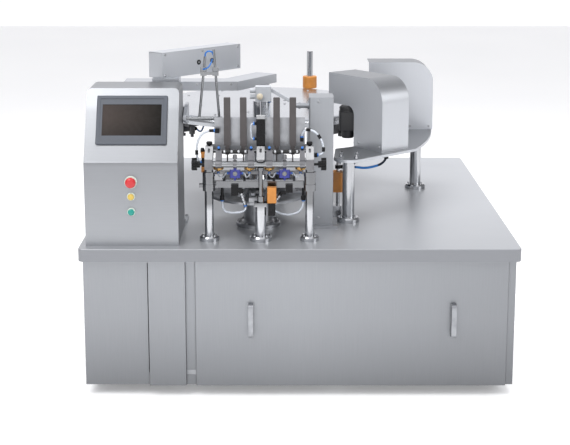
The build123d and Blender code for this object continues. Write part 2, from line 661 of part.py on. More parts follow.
# Gripper brackets: two cheeks, a pin, and a pair of fixed lower fingers at each station
pin_reach, pin_height, pin_radius = 128.0, 166.0, 4.0
cheek_thick, cheek_half, finger_width = 8.0, 34.0, 16.0
finger_tip = 192.0


def station_plane(index):
    """The upright radial plane of one gripper station: local x outward, local y up."""
    turn = radians(-90 + index * 360 / jaw_count)
    return Plane(origin=(rotor_x, rotor_y, table_z), x_dir=(cos(turn), sin(turn), 0),
                 z_dir=(sin(turn), -cos(turn), 0))


with BuildPart() as gripper_brackets:
    for index in range(jaw_count):
        upright = station_plane(index)
        for start in (-cheek_half, cheek_half - cheek_thick):
            with BuildSketch(upright.offset(start)) as cheek:
                with BuildLine():
                    Polyline((pin_reach - 20, disc_high), (pin_reach + 26, disc_high),
                             (pin_reach + 26, disc_high + 14), (pin_reach + 9, pin_height + 6),
                             (pin_reach - 9, pin_height + 6), (pin_reach - 20, disc_high + 14), close=True)
                make_face()
            extrude(cheek.sketch, amount=cheek_thick)
        with BuildSketch(upright.offset(-cheek_half)) as foot:
            with BuildLine():
                Polyline((pin_reach + 26, disc_high), (finger_tip, disc_high), (finger_tip, disc_high + 16),
                         (finger_tip - 8, disc_high + 22), (finger_tip - 16, disc_high + 10),
                         (pin_reach + 26, disc_high + 10), close=True)
            make_face()
        extrude(foot.sketch, amount=2 * cheek_half)
        with BuildSketch(upright.offset(-cheek_half)) as pin:
            with Locations((pin_reach, pin_height)):
                Circle(pin_radius)
        extrude(pin.sketch, amount=2 * cheek_half)
gripper_brackets.part.label = "gripper_brackets"
export_step(gripper_brackets.part, "parts/gripper_brackets.step")

# Gripper jaws: rocking levers on the pins, with a cam roller inside and two fingers outside
jaw_half = cheek_half - cheek_thick - 1.0
for index in range(jaw_count):
    upright = station_plane(index)
    with BuildPart() as jaw:
        with BuildSketch(upright.offset(-jaw_half)) as lever:
            with BuildLine():
                Polyline((pin_reach - 34, pin_height - 4), (pin_reach, pin_height - 8),
                         (finger_tip - 18, pin_height + 2), (finger_tip - 12, disc_high + 26),
                         (finger_tip - 4, disc_high + 25.5), (finger_tip, pin_height + 6),
                         (pin_reach, pin_height + 9), (pin_reach - 34, pin_height + 5), close=True)
            make_face()
            with Locations((pin_reach, pin_height)):
                Circle(pin_radius + run_gap, mode=Mode.SUBTRACT)
        extrude(lever.sketch, amount=2 * jaw_half)
        with BuildSketch(upright.offset(-jaw_half + finger_width)) as gap:
            with Locations((finger_tip - 10, pin_height)):
                Rectangle(60, 60)
        extrude(gap.sketch, amount=2 * (jaw_half - finger_width), mode=Mode.SUBTRACT)
        with BuildSketch(upright.offset(-6)) as roller:
            with Locations((pin_reach - 34, pin_height + 1)):
                Circle(9)
        extrude(roller.sketch, amount=12)
    jaw.part.label = f"gripper_jaw_{index + 1}"
    export_step(jaw.part, f"parts/gripper_jaw_{index + 1}.step")

# Pillars: turned posts with round flanges, and clamped sleeves that hold the arm's swing shaft,
# a flat cross plate in front of it and, on the left, a flange with a stop rod
block_seat, block_wide = 138.0, 50.6
arm_half, cross_y, cross_thick = 11.0, -712.0, 8.0
stop_long, stop_deep, stop_low, stop_thick = 30.0, 26.0, 203.0, 12.0
stop_rod_x, stop_rod_top = -375.5, 262.0
flange_thick = 20.0
head_under = 285.0
guard_post_front, guard_post_rear = (206.0, -455.0), (546.0, 189.0)
guard_post_radius, guard_flange = 25.0, 46.5
rear_guide = (72.0, 790.0)
side_guide = (152.0, -360.0)
guide_block_top = 48.0
sleeve_radius, sleeve_low, sleeve_high = 24.0, 200.0, 274.0
pivot_y, pivot_z, pivot_radius = -668.0, 213.0, 8.0


def flanged(x, y, radius, flange, height):
    """A turned post: a round flange with a bevelled top edge and a plain shaft."""
    turned(x, y, [(0, 0), (flange, 0), (flange, flange_thick - 6), (flange - 5, flange_thick),
                  (radius, flange_thick), (radius, height), (0, height)])


with BuildPart() as pillars:
    flanged(pillar_left, rail_y, 17.0, 38.0, head_under)
    flanged(pillar_right, rail_y, 17.0, 37.0, head_under)
    middle_top = rail_z - rail_radius - seat_gap
    turned(pillar_middle, rail_y, [
        (0, 0), (43, 0), (43, 14), (38, 20), (21.5, 20), (21.5, 153), (14, 153),
        (14, 176), (8, 176), (8, middle_top - 12), (12, middle_top - 12), (12, middle_top), (0, middle_top)])
    slab(at(block_seat), block_wide, 46, 15, pillar_middle, rail_y, radius=3)
    flanged(*guard_post_front, guard_post_radius, guard_flange, plate_height)
    flanged(*guard_post_rear, guard_post_radius, guard_flange, plate_height)
    turned(*rear_guide, [(0, 0), (40, 0), (40, 12), (15, 12), (15, 560), (13, 562), (0, 562)])
    slab(at(0), 62, 50, guide_block_top, *side_guide, radius=6)
    with BuildSketch(at(guide_block_top)) as rods:
        with Locations(side_guide):
            with Locations((-15, 0), (15, 0)):
                Circle(8)
    extrude(rods.sketch, amount=190)
    for x in (pillar_left, pillar_right):
        with BuildSketch(at(sleeve_low)) as ring:
            with Locations((x, rail_y)):
                Circle(sleeve_radius)
            with Locations((x, (rail_y + pivot_y) / 2)):
                Rectangle(2 * arm_half, pivot_y - rail_y)
            with Locations((x, pivot_y)):
                Circle(arm_half)
            with Locations((x, rail_y)):
                Circle(17.0 + seat_gap, mode=Mode.SUBTRACT)
        extrude(ring.sketch, amount=26)
        turned(x, rail_y, [(17.0 + seat_gap, sleeve_low + 26), (sleeve_radius - 2, sleeve_low + 26),
                           (sleeve_radius - 2, sleeve_high - 16), (sleeve_radius, sleeve_high - 16),
                           (sleeve_radius, sleeve_high), (17.0 + seat_gap, sleeve_high)])
    slab(at(sleeve_low), pillar_right - pillar_left - 2 * arm_half, cross_thick, 26,
         (pillar_left + pillar_right) / 2, cross_y)
    slab(at(stop_low), stop_long, stop_deep, stop_thick, pillar_left - arm_half - stop_long / 2, cross_y)
    turned(stop_rod_x, cross_y, [(0, stop_low + stop_thick), (4, stop_low + stop_thick),
                                 (4, stop_rod_top), (0, stop_rod_top)])
    with BuildSketch(Plane.YZ.offset(pillar_left + arm_half)) as swing_shaft:
        with Locations((pivot_y, table_z + pivot_z)):
            Circle(pivot_radius)
    extrude(swing_shaft.sketch, amount=pillar_right - pillar_left - 2 * arm_half)
pillars.part.label = "pillars"
export_step(pillars.part, "parts/pillars.step")

# Magazine heads: profiled blocks on the outer pillars, reaching back to the guide rod, with
# clamp rings on the rail and four bearings that carry the feed roller
ring_width, ring_radius = 14.0, 16.0
bearing_spans = ((-326.0, -302.0), (-200.0, -176.0), (-129.0, -105.0), (1.0, 21.0))
rod_y, rod_z, rod_radius = -688.0, 341.0, 6.0
head_width = 31.0
feed_y, feed_z, feed_shaft = -724.0, 345.0, 4.0
spindle_radius, nut_gap = 5.0, 0.2
with BuildPart() as magazine_heads:
    for x in (pillar_left, pillar_right):
        with BuildSketch(Plane.YZ.offset(x - head_width / 2)) as head:
            with BuildLine():
                Polyline((-782, table_z + 285), (-742, table_z + 285), (-742, table_z + 312),
                         (-676, table_z + 326), (-676, table_z + 362), (-712, table_z + 362),
                         (-782, table_z + 322), close=True)
            make_face()
            with Locations((rail_y, table_z + rail_z)):
                Circle(rail_radius, mode=Mode.SUBTRACT)
            with Locations((rod_y, table_z + rod_z)):
                Circle(rod_radius, mode=Mode.SUBTRACT)
            with Locations((feed_y, table_z + feed_z)):
                Circle(feed_shaft + run_gap, mode=Mode.SUBTRACT)
        extrude(head.sketch, amount=head_width)
    with BuildSketch(Plane.YZ.offset(pillar_middle - 10)) as web:
        with BuildLine():
            Polyline((-782, table_z + 317), (-740, table_z + 317), (-676, table_z + 325),
                     (-676, table_z + 364), (-708, table_z + 364), (-712, table_z + 362),
                     (-782, table_z + 322), close=True)
        make_face()
        with Locations((rod_y, table_z + rod_z)):
            Circle(rod_radius, mode=Mode.SUBTRACT)
        with Locations((feed_y, table_z + feed_z)):
            Circle(feed_shaft + run_gap, mode=Mode.SUBTRACT)
    extrude(web.sketch, amount=20)
    for a, b in (bar_centres[:2], bar_centres[2:]):
        with BuildSketch(Plane.YZ.offset((a + b) / 2 - ring_width / 2)) as clamp:
            with Locations((rail_y, table_z + rail_z)):
                Circle(ring_radius)
                Circle(rail_radius, mode=Mode.SUBTRACT)
        extrude(clamp.sketch, amount=ring_width)
        turned((a + b) / 2, rail_y, [
            (0, rail_z + ring_radius - 1), (4, rail_z + ring_radius - 1), (4, rail_z + 22),
            (8, rail_z + 22), (8, rail_z + 36), (6, rail_z + 38), (0, rail_z + 38)])
    for left, right in bearing_spans:
        with BuildSketch(Plane.YZ.offset(left)) as bearing:
            with BuildLine():
                Polyline((rail_y - 4, table_z + rail_z + rail_radius),
                         (rail_y + 12, table_z + rail_z), (feed_y + 10, table_z + feed_z - 10),
                         (feed_y + 10, table_z + feed_z + 8), (feed_y - 8, table_z + feed_z + 8),
                         close=True)
            make_face()
            with Locations((rail_y, table_z + rail_z)):
                Circle(ring_radius)
                Circle(rail_radius, mode=Mode.SUBTRACT)
            with Locations((feed_y, table_z + feed_z)):
                Circle(feed_shaft + run_gap, mode=Mode.SUBTRACT)
        extrude(bearing.sketch, amount=right - left)
magazine_heads.part.label = "magazine_heads"
export_step(magazine_heads.part, "parts/magazine_heads.step")

# Front rail: a slotted tube that hides the adjusting spindles, and the plain guide rod behind
rail_bore, slot_width = 8.5, 7.0
rail_left, rail_right = pillar_left - head_width / 2, pillar_right + head_width / 2
bar_travel = 12.0
with BuildPart() as front_rail:
    with BuildSketch(Plane.YZ.offset(rail_left)) as ring:
        with Locations((rail_y, table_z + rail_z)):
            Circle(rail_radius)
            Circle(rail_bore, mode=Mode.SUBTRACT)
    extrude(ring.sketch, amount=rail_right - rail_left)
    with BuildSketch(at(rail_z - slot_width / 2)) as slots:
        for a, b in (bar_centres[:2], bar_centres[2:]):
            with Locations(((a + b) / 2, rail_y + rail_radius)):
                Rectangle(b - a + 2 * bar_travel + 14, 2 * rail_radius)
    extrude(slots.sketch, amount=slot_width, mode=Mode.SUBTRACT)
    with BuildSketch(Plane.YZ.offset(rail_left)) as rod:
        with Locations((rod_y, table_z + rod_z)):
            Circle(rod_radius)
    extrude(rod.sketch, amount=rail_right - rail_left)
front_rail.part.label = "front_rail"
export_step(front_rail.part, "parts/front_rail.step")

# Star knobs with their spindles: one at each end of the rail
knob_radius, knob_thick = 26.0, 20.0
left_reach, right_reach, hub_radius, hub_long = 30.0, 28.0, 13.0, 12.0
spindle_end = (pillar_middle - 12.0, pillar_middle + 12.0)
for name, start, direction, end in (("left_knob", rail_left - left_reach, -1, spindle_end[0]),
                                    ("right_knob", rail_right + right_reach, 1, spindle_end[1])):
    with BuildPart() as knob:
        grip = Plane.YZ.offset(start)
        with BuildSketch(grip) as star:
            with Locations((rail_y, table_z + rail_z)):
                Circle(knob_radius - 8)
                with PolarLocations(knob_radius - 7, 5):
                    Circle(7)
        extrude(star.sketch, amount=direction * knob_thick)
        with BuildSketch(grip) as hub:
            with Locations((rail_y, table_z + rail_z)):
                Circle(hub_radius)
        extrude(hub.sketch, amount=-direction * hub_long)
        with BuildSketch(grip) as spindle:
            with Locations((rail_y, table_z + rail_z)):
                Circle(spindle_radius)
        extrude(spindle.sketch, amount=-direction * abs(end - start))
    knob.part.label = name
    export_step(knob.part, f"parts/{name}.step")

# Bag guide bars: a tall bar, its carriage on the guide rod and the nut arm into the rail
bar_thick, carriage_width, arm_width = 12.0, 16.0, 5.0
arm_tall = slot_width - 1.0
for index, x in enumerate(bar_centres):
    with BuildPart() as guide_bar:
        slab(at(bar_foot), bar_width, bar_thick, bar_height, x, bar_y)
        chamfer(guide_bar.faces().sort_by(Axis.Z)[-1].edges(), 2.0)
        with BuildSketch(Plane.YZ.offset(x - carriage_width / 2)) as carriage:
            with Locations((rod_y, table_z + (rod_z + bar_foot) / 2 - 6)):
                Rectangle(20, bar_foot - rod_z + 12)
            with Locations((rod_y, table_z + rod_z)):
                Circle(12)
                Circle(rod_radius + run_gap, mode=Mode.SUBTRACT)
        extrude(carriage.sketch, amount=carriage_width)
        with BuildSketch(Plane.YZ.offset(x - arm_width / 2)) as arm:
            with BuildLine():
                Polyline((rail_y + spindle_radius + 1.5, table_z + rail_z - arm_tall / 2),
                         (rod_y + 4, table_z + rail_z - arm_tall / 2),
                         (rod_y + 4, table_z + rod_z - 8), (rod_y - 6, table_z + rod_z - 9),
                         (rod_y - 6, table_z + rail_z + arm_tall / 2),
                         (rail_y + spindle_radius + 1.5, table_z + rail_z + arm_tall / 2), close=True)
            make_face()
        extrude(arm.sketch, amount=arm_width)
        with BuildSketch(Plane.YZ.offset(x - 6)) as nut:
            with Locations((rail_y, table_z + rail_z)):
                Circle(rail_bore - nut_gap)
                Circle(spindle_radius + run_gap, mode=Mode.SUBTRACT)
        extrude(nut.sketch, amount=12)
    guide_bar.part.label = f"guide_bar_{index + 1}"
    export_step(guide_bar.part, f"parts/guide_bar_{index + 1}.step")

# Side plates: slotted cover plates on the sloping fronts of the heads, and the middle one
head_front, head_step = -782.0, 322.0
slope_x, slope_z = 70.0, 40.0
slope_length = hypot(slope_x, slope_z)
slope_normal = (0, -slope_z / slope_length, slope_x / slope_length)


def slope_plane(x):
    """The plane of a sloping head front: local x across, local y up the slope."""
    return Plane(origin=(x, head_front + slope_x / 2, table_z + head_step + slope_z / 2),
                 x_dir=(1, 0, 0), z_dir=slope_normal)


with BuildPart() as side_plates:
    for x in (pillar_left, pillar_middle, pillar_right):
        tilted = slope_plane(x)
        with BuildSketch(tilted) as plate:
            RectangleRounded(head_width, slope_length - 2, 5)
            with Locations((0, 14)):
                SlotOverall(26, 9, rotation=90, mode=Mode.SUBTRACT)
        extrude(plate.sketch, amount=4)
side_plates.part.label = "side_plates"
export_step(side_plates.part, "parts/side_plates.step")

# Feed roller: one thin shaft through the heads and bearings, with a soft sleeve for each bag
sleeve_play = 1.0
sleeve_spans = ((bearing_spans[0][1] + sleeve_play, bearing_spans[1][0] - sleeve_play),
                (bearing_spans[2][1] + sleeve_play, bearing_spans[3][0] - sleeve_play))
feed_sleeve = 8.0
with BuildPart() as feed_roller:
    with BuildSketch(Plane.YZ.offset(rail_left)) as axle:
        with Locations((feed_y, table_z + feed_z)):
            Circle(feed_shaft)
    extrude(axle.sketch, amount=rail_right - rail_left)
    for left, right in sleeve_spans:
        with BuildSketch(Plane.YZ.offset(left)) as tyre:
            with Locations((feed_y, table_z + feed_z)):
                Circle(feed_sleeve)
        extrude(tyre.sketch, amount=right - left)
feed_roller.part.label = "feed_roller"
export_step(feed_roller.part, "parts/feed_roller.step")

# Bag backs: the sheets behind the bags, carried by lugs on the magazine heads
back_spans = ((-334.0, -163.0), (-139.0, 22.0))
head_back, lug_reach, lug_size = -676.0, 14.0, 24.0
strip_z, sheet_mid, sheet_tall = 352.0, 405.0, 130.0
with BuildPart() as bag_backs:
    strip_y = head_back + lug_reach
    for left, right in back_spans:
        slab(Plane.XZ.offset(-strip_y - sheet), right - left, sheet_tall, -sheet,
             (left + right) / 2, table_z + sheet_mid)
    for x in (pillar_left, pillar_middle, pillar_right):
        slab(Plane.XZ.offset(-head_back), lug_size - 4, lug_size, -lug_reach, x, table_z + strip_z)
    slab(Plane.XZ.offset(-strip_y), pillar_right - pillar_left + lug_size - 4, lug_size, -sheet,
         (pillar_left + pillar_right) / 2, table_z + strip_z)
bag_backs.part.label = "bag_backs"
export_step(bag_backs.part, "parts/bag_backs.step")

# Lift cylinder: a compact air cylinder on the middle head, and its capped rod
cylinder_y, cylinder_low, cylinder_high = -692.0, 364.0, 470.0
cylinder_width, cylinder_depth, cap_thick = 34.0, 26.0, 12.0
lift_radius, lift_bore, lift_rod = 6.0, 60.0, 54.0
with BuildPart() as lift_cylinder:
    slab(at(cylinder_low), cylinder_width, cylinder_depth, cylinder_high - cylinder_low,
         pillar_middle, cylinder_y, radius=3)
    with BuildSketch(at(cylinder_high - lift_bore)) as bore:
        with Locations((pillar_middle, cylinder_y)):
            Circle(lift_radius + run_gap)
    extrude(bore.sketch, amount=lift_bore, mode=Mode.SUBTRACT)
lift_cylinder.part.label = "lift_cylinder"
export_step(lift_cylinder.part, "parts/lift_cylinder.step")

with BuildPart() as lift_cap:
    turned(pillar_middle, cylinder_y, [
        (0, cylinder_high - lift_rod), (lift_radius, cylinder_high - lift_rod),
        (lift_radius, cylinder_high + 1), (0, cylinder_high + 1)])
    slab(at(cylinder_high + 1), cylinder_width, cylinder_depth, cap_thick, pillar_middle,
         cylinder_y, radius=3)
lift_cap.part.label = "lift_cap"
export_step(lift_cap.part, "parts/lift_cap.step")

# Suction arm: a swinging bar under the rail with lever arms on the swing shaft
cup_centres = (-318.0, -196.0, -118.0, 4.0)
cup_y, cup_top, bar_low = -688.0, 282.0, 250.0
arm_x = (-296.0, -216.0, -100.0, -20.0)
lever_thick, lever_boss, cup_bar, cup_bar_depth = 10.0, 14.0, 12.0, 20.0
with BuildPart() as suction_bar:
    slab(at(bar_low), cup_centres[3] - cup_centres[0] + 26, cup_bar_depth, cup_bar,
         (cup_centres[0] + cup_centres[3]) / 2, cup_y, radius=4)
    for x in arm_x:
        with BuildSketch(Plane.YZ.offset(x - lever_thick / 2)) as lever:
            with BuildLine():
                Polyline((cup_y - 9, table_z + bar_low + 10), (cup_y - 9, table_z + bar_low - 6),
                         (pivot_y - 10, table_z + pivot_z - 9), (pivot_y + 12, table_z + pivot_z - 4),
                         (pivot_y + 12, table_z + pivot_z + 8), (cup_y + 10, table_z + bar_low + 10),
                         close=True)
            make_face()
            with Locations((pivot_y, table_z + pivot_z)):
                Circle(lever_boss)
                Circle(pivot_radius + run_gap, mode=Mode.SUBTRACT)
        extrude(lever.sketch, amount=lever_thick)
suction_bar.part.label = "suction_bar"
export_step(suction_bar.part, "parts/suction_bar.step")

cup_radius, cup_lip, stem_radius = 20.5, 14.0, 7.0
with BuildPart() as suction_cups:
    for x in cup_centres:
        turned(x, cup_y, [
            (0, bar_low + cup_bar), (stem_radius, bar_low + cup_bar),
            (stem_radius, cup_top - cup_lip), (cup_radius - 2, cup_top - cup_lip),
            (cup_radius, cup_top - cup_lip + 2), (cup_radius, cup_top - 2), (cup_radius - 2, cup_top),
            (12, cup_top), (5, cup_top - 6), (0, cup_top - 6)])
suction_cups.part.label = "suction_cups"
export_step(suction_cups.part, "parts/suction_cups.step")

# Vacuum ejectors: a blue body on the front of the bar for each bag, with two ports and a nozzle
ejector_x = (-252.0, -58.0)
ejector_width, ejector_depth, ejector_low, ejector_tall = 42.0, 14.0, 238.0, 32.0
port_reach, nozzle_drop, cap_rise = 7.0, 10.0, 8.0
ejector_y = cup_y - (cup_bar_depth + ejector_depth) / 2
ejector_top = ejector_low + ejector_tall
with BuildPart() as vacuum_ejectors:
    for x in ejector_x:
        slab(at(ejector_low), ejector_width, ejector_depth, ejector_tall, x, ejector_y, radius=4)
        with BuildSketch(Plane.YZ.offset(x - ejector_width / 2 - port_reach)) as port:
            with Locations((ejector_y, table_z + ejector_low + 18)):
                Circle(5)
        extrude(port.sketch, amount=ejector_width + 2 * port_reach)
        turned(x, ejector_y, [
            (0, ejector_low - nozzle_drop), (4, ejector_low - nozzle_drop), (6, ejector_low),
            (0, ejector_low)])
        turned(x, ejector_y, [
            (0, ejector_top), (6, ejector_top), (6, ejector_top + cap_rise), (0, ejector_top + cap_rise)])
vacuum_ejectors.part.label = "vacuum_ejectors"
export_step(vacuum_ejectors.part, "parts/vacuum_ejectors.step")

# Swing frame: two bent chrome rods, clamp blocks and a cross bar on a shaft from the post
swing_left, swing_right = -398.0, -318.0
swing_top_left, swing_top_right = (-372.0, 700.0), (-338.0, 728.0)
swing_rod, clamp_z, clamp_tall = 5.0, 636.0, 34.0
with BuildPart() as swing_frame:
    with BuildSketch(Plane.YZ.offset(bracket_x - 3)) as pivot:
        with Locations((swing_y, table_z + swing_z)):
            Circle(swing_shaft_radius)
    extrude(pivot.sketch, amount=swing_right + 12 - bracket_x + 3)
    for low_x, (top_x, top_z) in ((swing_left, swing_top_left), (swing_right, swing_top_right)):
        rise_x, rise_z = top_x - low_x, top_z - swing_z
        rod_plane = Plane(origin=(low_x, swing_y, table_z + swing_z), z_dir=(rise_x, 0, rise_z))
        with BuildSketch(rod_plane) as rod:
            Circle(swing_rod)
        extrude(rod.sketch, amount=hypot(rise_x, rise_z))
        share = (clamp_z - swing_z) / rise_z
        slab(at(clamp_z - 12), 24, 20, clamp_tall, low_x + rise_x * share, swing_y, radius=3)
    left_share = (clamp_z - swing_z) / (swing_top_left[1] - swing_z)
    right_share = (clamp_z - swing_z) / (swing_top_right[1] - swing_z)
    bar_from = swing_left + (swing_top_left[0] - swing_left) * left_share
    bar_to = swing_right + (swing_top_right[0] - swing_right) * right_share
    slab(at(clamp_z - 8), bar_to - bar_from, 10, 12, (bar_from + bar_to) / 2, swing_y - 12)
    for x in (bar_from, bar_to):
        slab(at(clamp_z - 8), 24, 14, 12, x, swing_y - 10)
swing_frame.part.label = "swing_frame"
export_step(swing_frame.part, "parts/swing_frame.step")

# Guard plate: a ring segment round the carousel with a lobe on the front post
inner_arc, lobe_radius = 637.0, 61.0
lobe_turn = -51.0
edge_start = (guard_post_front[0] + lobe_radius * cos(radians(lobe_turn)),
              guard_post_front[1] + lobe_radius * sin(radians(lobe_turn)))
edge_bend, edge_arc = (500.0, -265.0), (580.0, -20.0)
edge_back, edge_end = (618.0, 204.0), (622.0, 355.0)


def on_inner(angle):
    """A point of the plate's inner arc about the carousel's centre."""
    return (carousel_x + inner_arc * cos(radians(angle)), carousel_y + inner_arc * sin(radians(angle)))


lobe_back = (guard_post_front[0] - lobe_radius, guard_post_front[1])
with BuildPart() as guard_plate:
    with BuildSketch(at(plate_height)) as outline:
        with BuildLine():
            Line(edge_start, edge_bend)
            ThreePointArc(edge_bend, edge_arc, edge_back)
            Polyline(edge_back, edge_end, on_inner(6))
            ThreePointArc(on_inner(6), on_inner(-28), on_inner(-61))
            Line(on_inner(-61), lobe_back)
            ThreePointArc(lobe_back, (guard_post_front[0] - lobe_radius * cos(radians(70)),
                                      guard_post_front[1] - lobe_radius * sin(radians(70))), edge_start)
        make_face()
    extrude(outline.sketch, amount=plate_thick)
    chamfer(guard_plate.faces().sort_by(Axis.Z)[-1].edges(), 1.0)
guard_plate.part.label = "guard_plate"
export_step(guard_plate.part, "parts/guard_plate.step")

# Guard bolts: four bolts with nuts round the front post
bolt_circle, bolt_head, head_tall, bolt_end = 44.0, 9.0, 9.0, 8.0
with BuildPart() as guard_bolts:
    with BuildSketch(at(plate_height + plate_thick)) as heads:
        with Locations(guard_post_front):
            with PolarLocations(bolt_circle, 4, start_angle=40):
                RegularPolygon(bolt_head, 6)
    extrude(heads.sketch, amount=head_tall)
    with BuildSketch(at(plate_height + plate_thick + head_tall)) as ends:
        with Locations(guard_post_front):
            with PolarLocations(bolt_circle, 4, start_angle=40):
                Circle(5)
    extrude(ends.sketch, amount=bolt_end)
    with BuildSketch(at(plate_height)) as nuts:
        with Locations(guard_post_front):
            with PolarLocations(bolt_circle, 4, start_angle=40):
                RegularPolygon(bolt_head, 6)
    extrude(nuts.sketch, amount=-head_tall)
guard_bolts.part.label = "guard_bolts"
export_step(guard_bolts.part, "parts/guard_bolts.step")

# Guards: folded hoods with one large rounded corner, open below and towards the carousel
guard_foot = plate_height + plate_thick


def hood(plane, width, tall, deep, radius, notch_width, notch_tall):
    """A hood on an upright plane: a face, a top and an outer side, with a notch in the face."""
    with BuildSketch(plane) as face:
        with BuildLine():
            Polyline((width, 0), (0, 0), (0, tall), (width - radius, tall))
            ThreePointArc((width - radius, tall),
                          (width - radius * (1 - half_root), tall - radius * (1 - half_root)),
                          (width, tall - radius))
            Line((width, tall - radius), (width, 0))
        make_face()
    extrude(face.sketch, amount=-deep)
    with BuildSketch(plane.offset(-sheet)) as room:
        with BuildLine():
            inner_w, inner_t, inner_r = width - sheet, tall - sheet, radius - sheet
            Polyline((inner_w, 0), (0, 0), (0, inner_t), (inner_w - inner_r, inner_t))
            ThreePointArc((inner_w - inner_r, inner_t),
                          (inner_w - inner_r * (1 - half_root), inner_t - inner_r * (1 - half_root)),
                          (inner_w, inner_t - inner_r))
            Line((inner_w, inner_t - inner_r), (inner_w, 0))
        make_face()
    extrude(room.sketch, amount=-deep, mode=Mode.SUBTRACT)
    with BuildSketch(plane) as notch:
        with Locations((0, 0)):
            RectangleRounded(2 * notch_width, 2 * notch_tall, 38)
    extrude(notch.sketch, amount=-2 * sheet, mode=Mode.SUBTRACT)


guard_a_from, guard_a_to = (136.0, -80.0), (349.0, -355.0)
guard_a_width = hypot(guard_a_to[0] - guard_a_from[0], guard_a_to[1] - guard_a_from[1])
along = ((guard_a_to[0] - guard_a_from[0]) / guard_a_width,
         (guard_a_to[1] - guard_a_from[1]) / guard_a_width)
guard_a_plane = Plane(origin=(*guard_a_from, table_z + guard_foot), x_dir=(*along, 0),
                      z_dir=(along[1], -along[0], 0))
guard_b_plane = Plane(origin=(328.0, 204.0, table_z + guard_foot), x_dir=(1, 0, 0), z_dir=(0, -1, 0))
with BuildPart() as rear_guard:
    hood(guard_b_plane, 294.0, 309.0, 143.0, 92.0, 62.0, 150.0)
with BuildPart() as guards:
    hood(guard_a_plane, guard_a_width, 302.0, 150.0, 100.0, 168.0, 171.0)
    add(rear_guard.part)
guards.part.label = "guards"
export_step(guards.part, "parts/guards.step")

# Side motor: a finned black motor and gear case on a bracket from the guard plate
side_motor_x, side_motor_y, side_motor_z = 216.0, -152.0, 372.0
gear_width, gear_depth, gear_tall = 76.0, 60.0, 80.0
riser_thick, riser_width, shoe_thick, shoe_size = 14.0, 44.0, 8.0, 60.0
shoe_x, shoe_y = 272.0, -176.0
with BuildPart() as side_motor:
    slab(at(guard_foot), shoe_size, shoe_size, shoe_thick, shoe_x, shoe_y)
    slab(at(guard_foot + shoe_thick), riser_thick, riser_width, 96,
         side_motor_x + gear_width / 2 + riser_thick / 2 - 1, shoe_y + 2)
    slab(at(side_motor_z - gear_tall / 2), gear_width, gear_depth, gear_tall,
         side_motor_x, side_motor_y, radius=10)
    turned(side_motor_x, side_motor_y, [
        (0, side_motor_z + 40), (34, side_motor_z + 40), (34, side_motor_z + 62),
        (26, side_motor_z + 68), (0, side_motor_z + 68)])
    turned(side_motor_x, side_motor_y, [
        (0, side_motor_z - 74), (24, side_motor_z - 74), (28, side_motor_z - 66),
        (28, side_motor_z - 40), (0, side_motor_z - 40)])
side_motor.part.label = "side_motor"
export_step(side_motor.part, "parts/side_motor.step")

# Column box: an upright sheet housing with a foot bar and a short air pipe at its side
column_x, column_y, column_width, column_depth, column_height = 90.0, -498.5, 98.0, 115.0, 533.0
pipe_y, pipe_z, pipe_radius = -500.0, 492.0, 10.0
bar_long, bar_deep = 104.0, 33.0
with BuildPart() as column_box:
    slab(at(0), column_width, column_depth, column_height, column_x, column_y, radius=5)
    slab(at(0), column_width - 2 * sheet, column_depth - 2 * sheet, column_height - sheet,
         column_x, column_y, radius=3, mode=Mode.SUBTRACT)
    slab(at(0), bar_long, bar_deep, 12, column_x + 16, column_y - (column_depth + bar_deep) / 2,
         radius=3)
    lying(column_x - column_width / 2, pipe_y, table_z + pipe_z, [
        (0, 0), (0, 16), (-6, 16), (-6, pipe_radius), (-34, pipe_radius), (-34, 13), (-42, 13),
        (-42, pipe_radius), (-66, pipe_radius), (-66, 0)])
column_box.part.label = "column_box"
export_step(column_box.part, "parts/column_box.step")

# Orange blocks: guide collars on the rods, the stop block beside the middle pillar, and two small
# blocks above the stop rod
stack_size, stack_gap_low, stack_gap_high, stack_top = 16.0, 284.0, 320.0, 342.0
collar_low, collar_high, collar_radius = 378.0, 437.0, 35.0
block_foot, block_tall, stop_foot, stop_tall, stop_reach = 107.0, 84.0, 151.0, 62.0, 43.3
with BuildPart() as orange_blocks:
    turned(*rear_guide, [
        (15 + seat_gap, collar_low), (collar_radius - 2, collar_low), (collar_radius, collar_low + 2),
        (collar_radius, collar_high - 3), (collar_radius - 2, collar_high),
        (15 + seat_gap, collar_high)])
    slab(at(block_foot), 66, 58, block_tall, *side_guide, radius=12)
    with BuildSketch(at(block_foot - 7)) as rod_holes:
        with Locations(side_guide):
            with Locations((-15, 0), (15, 0)):
                Circle(8 + seat_gap)
    extrude(rod_holes.sketch, amount=100, mode=Mode.SUBTRACT)
    slab(at(stop_foot), 36, 26, stop_tall, pillar_middle + stop_reach, rail_y, radius=3)
    slab(at(stop_rod_top), stack_size, stack_size, stack_gap_low - stop_rod_top, stop_rod_x, cross_y)
    slab(at(stack_gap_high), stack_size, stack_size, stack_top - stack_gap_high, stop_rod_x, cross_y)
orange_blocks.part.label = "orange_blocks"
export_step(orange_blocks.part, "parts/orange_blocks.step")

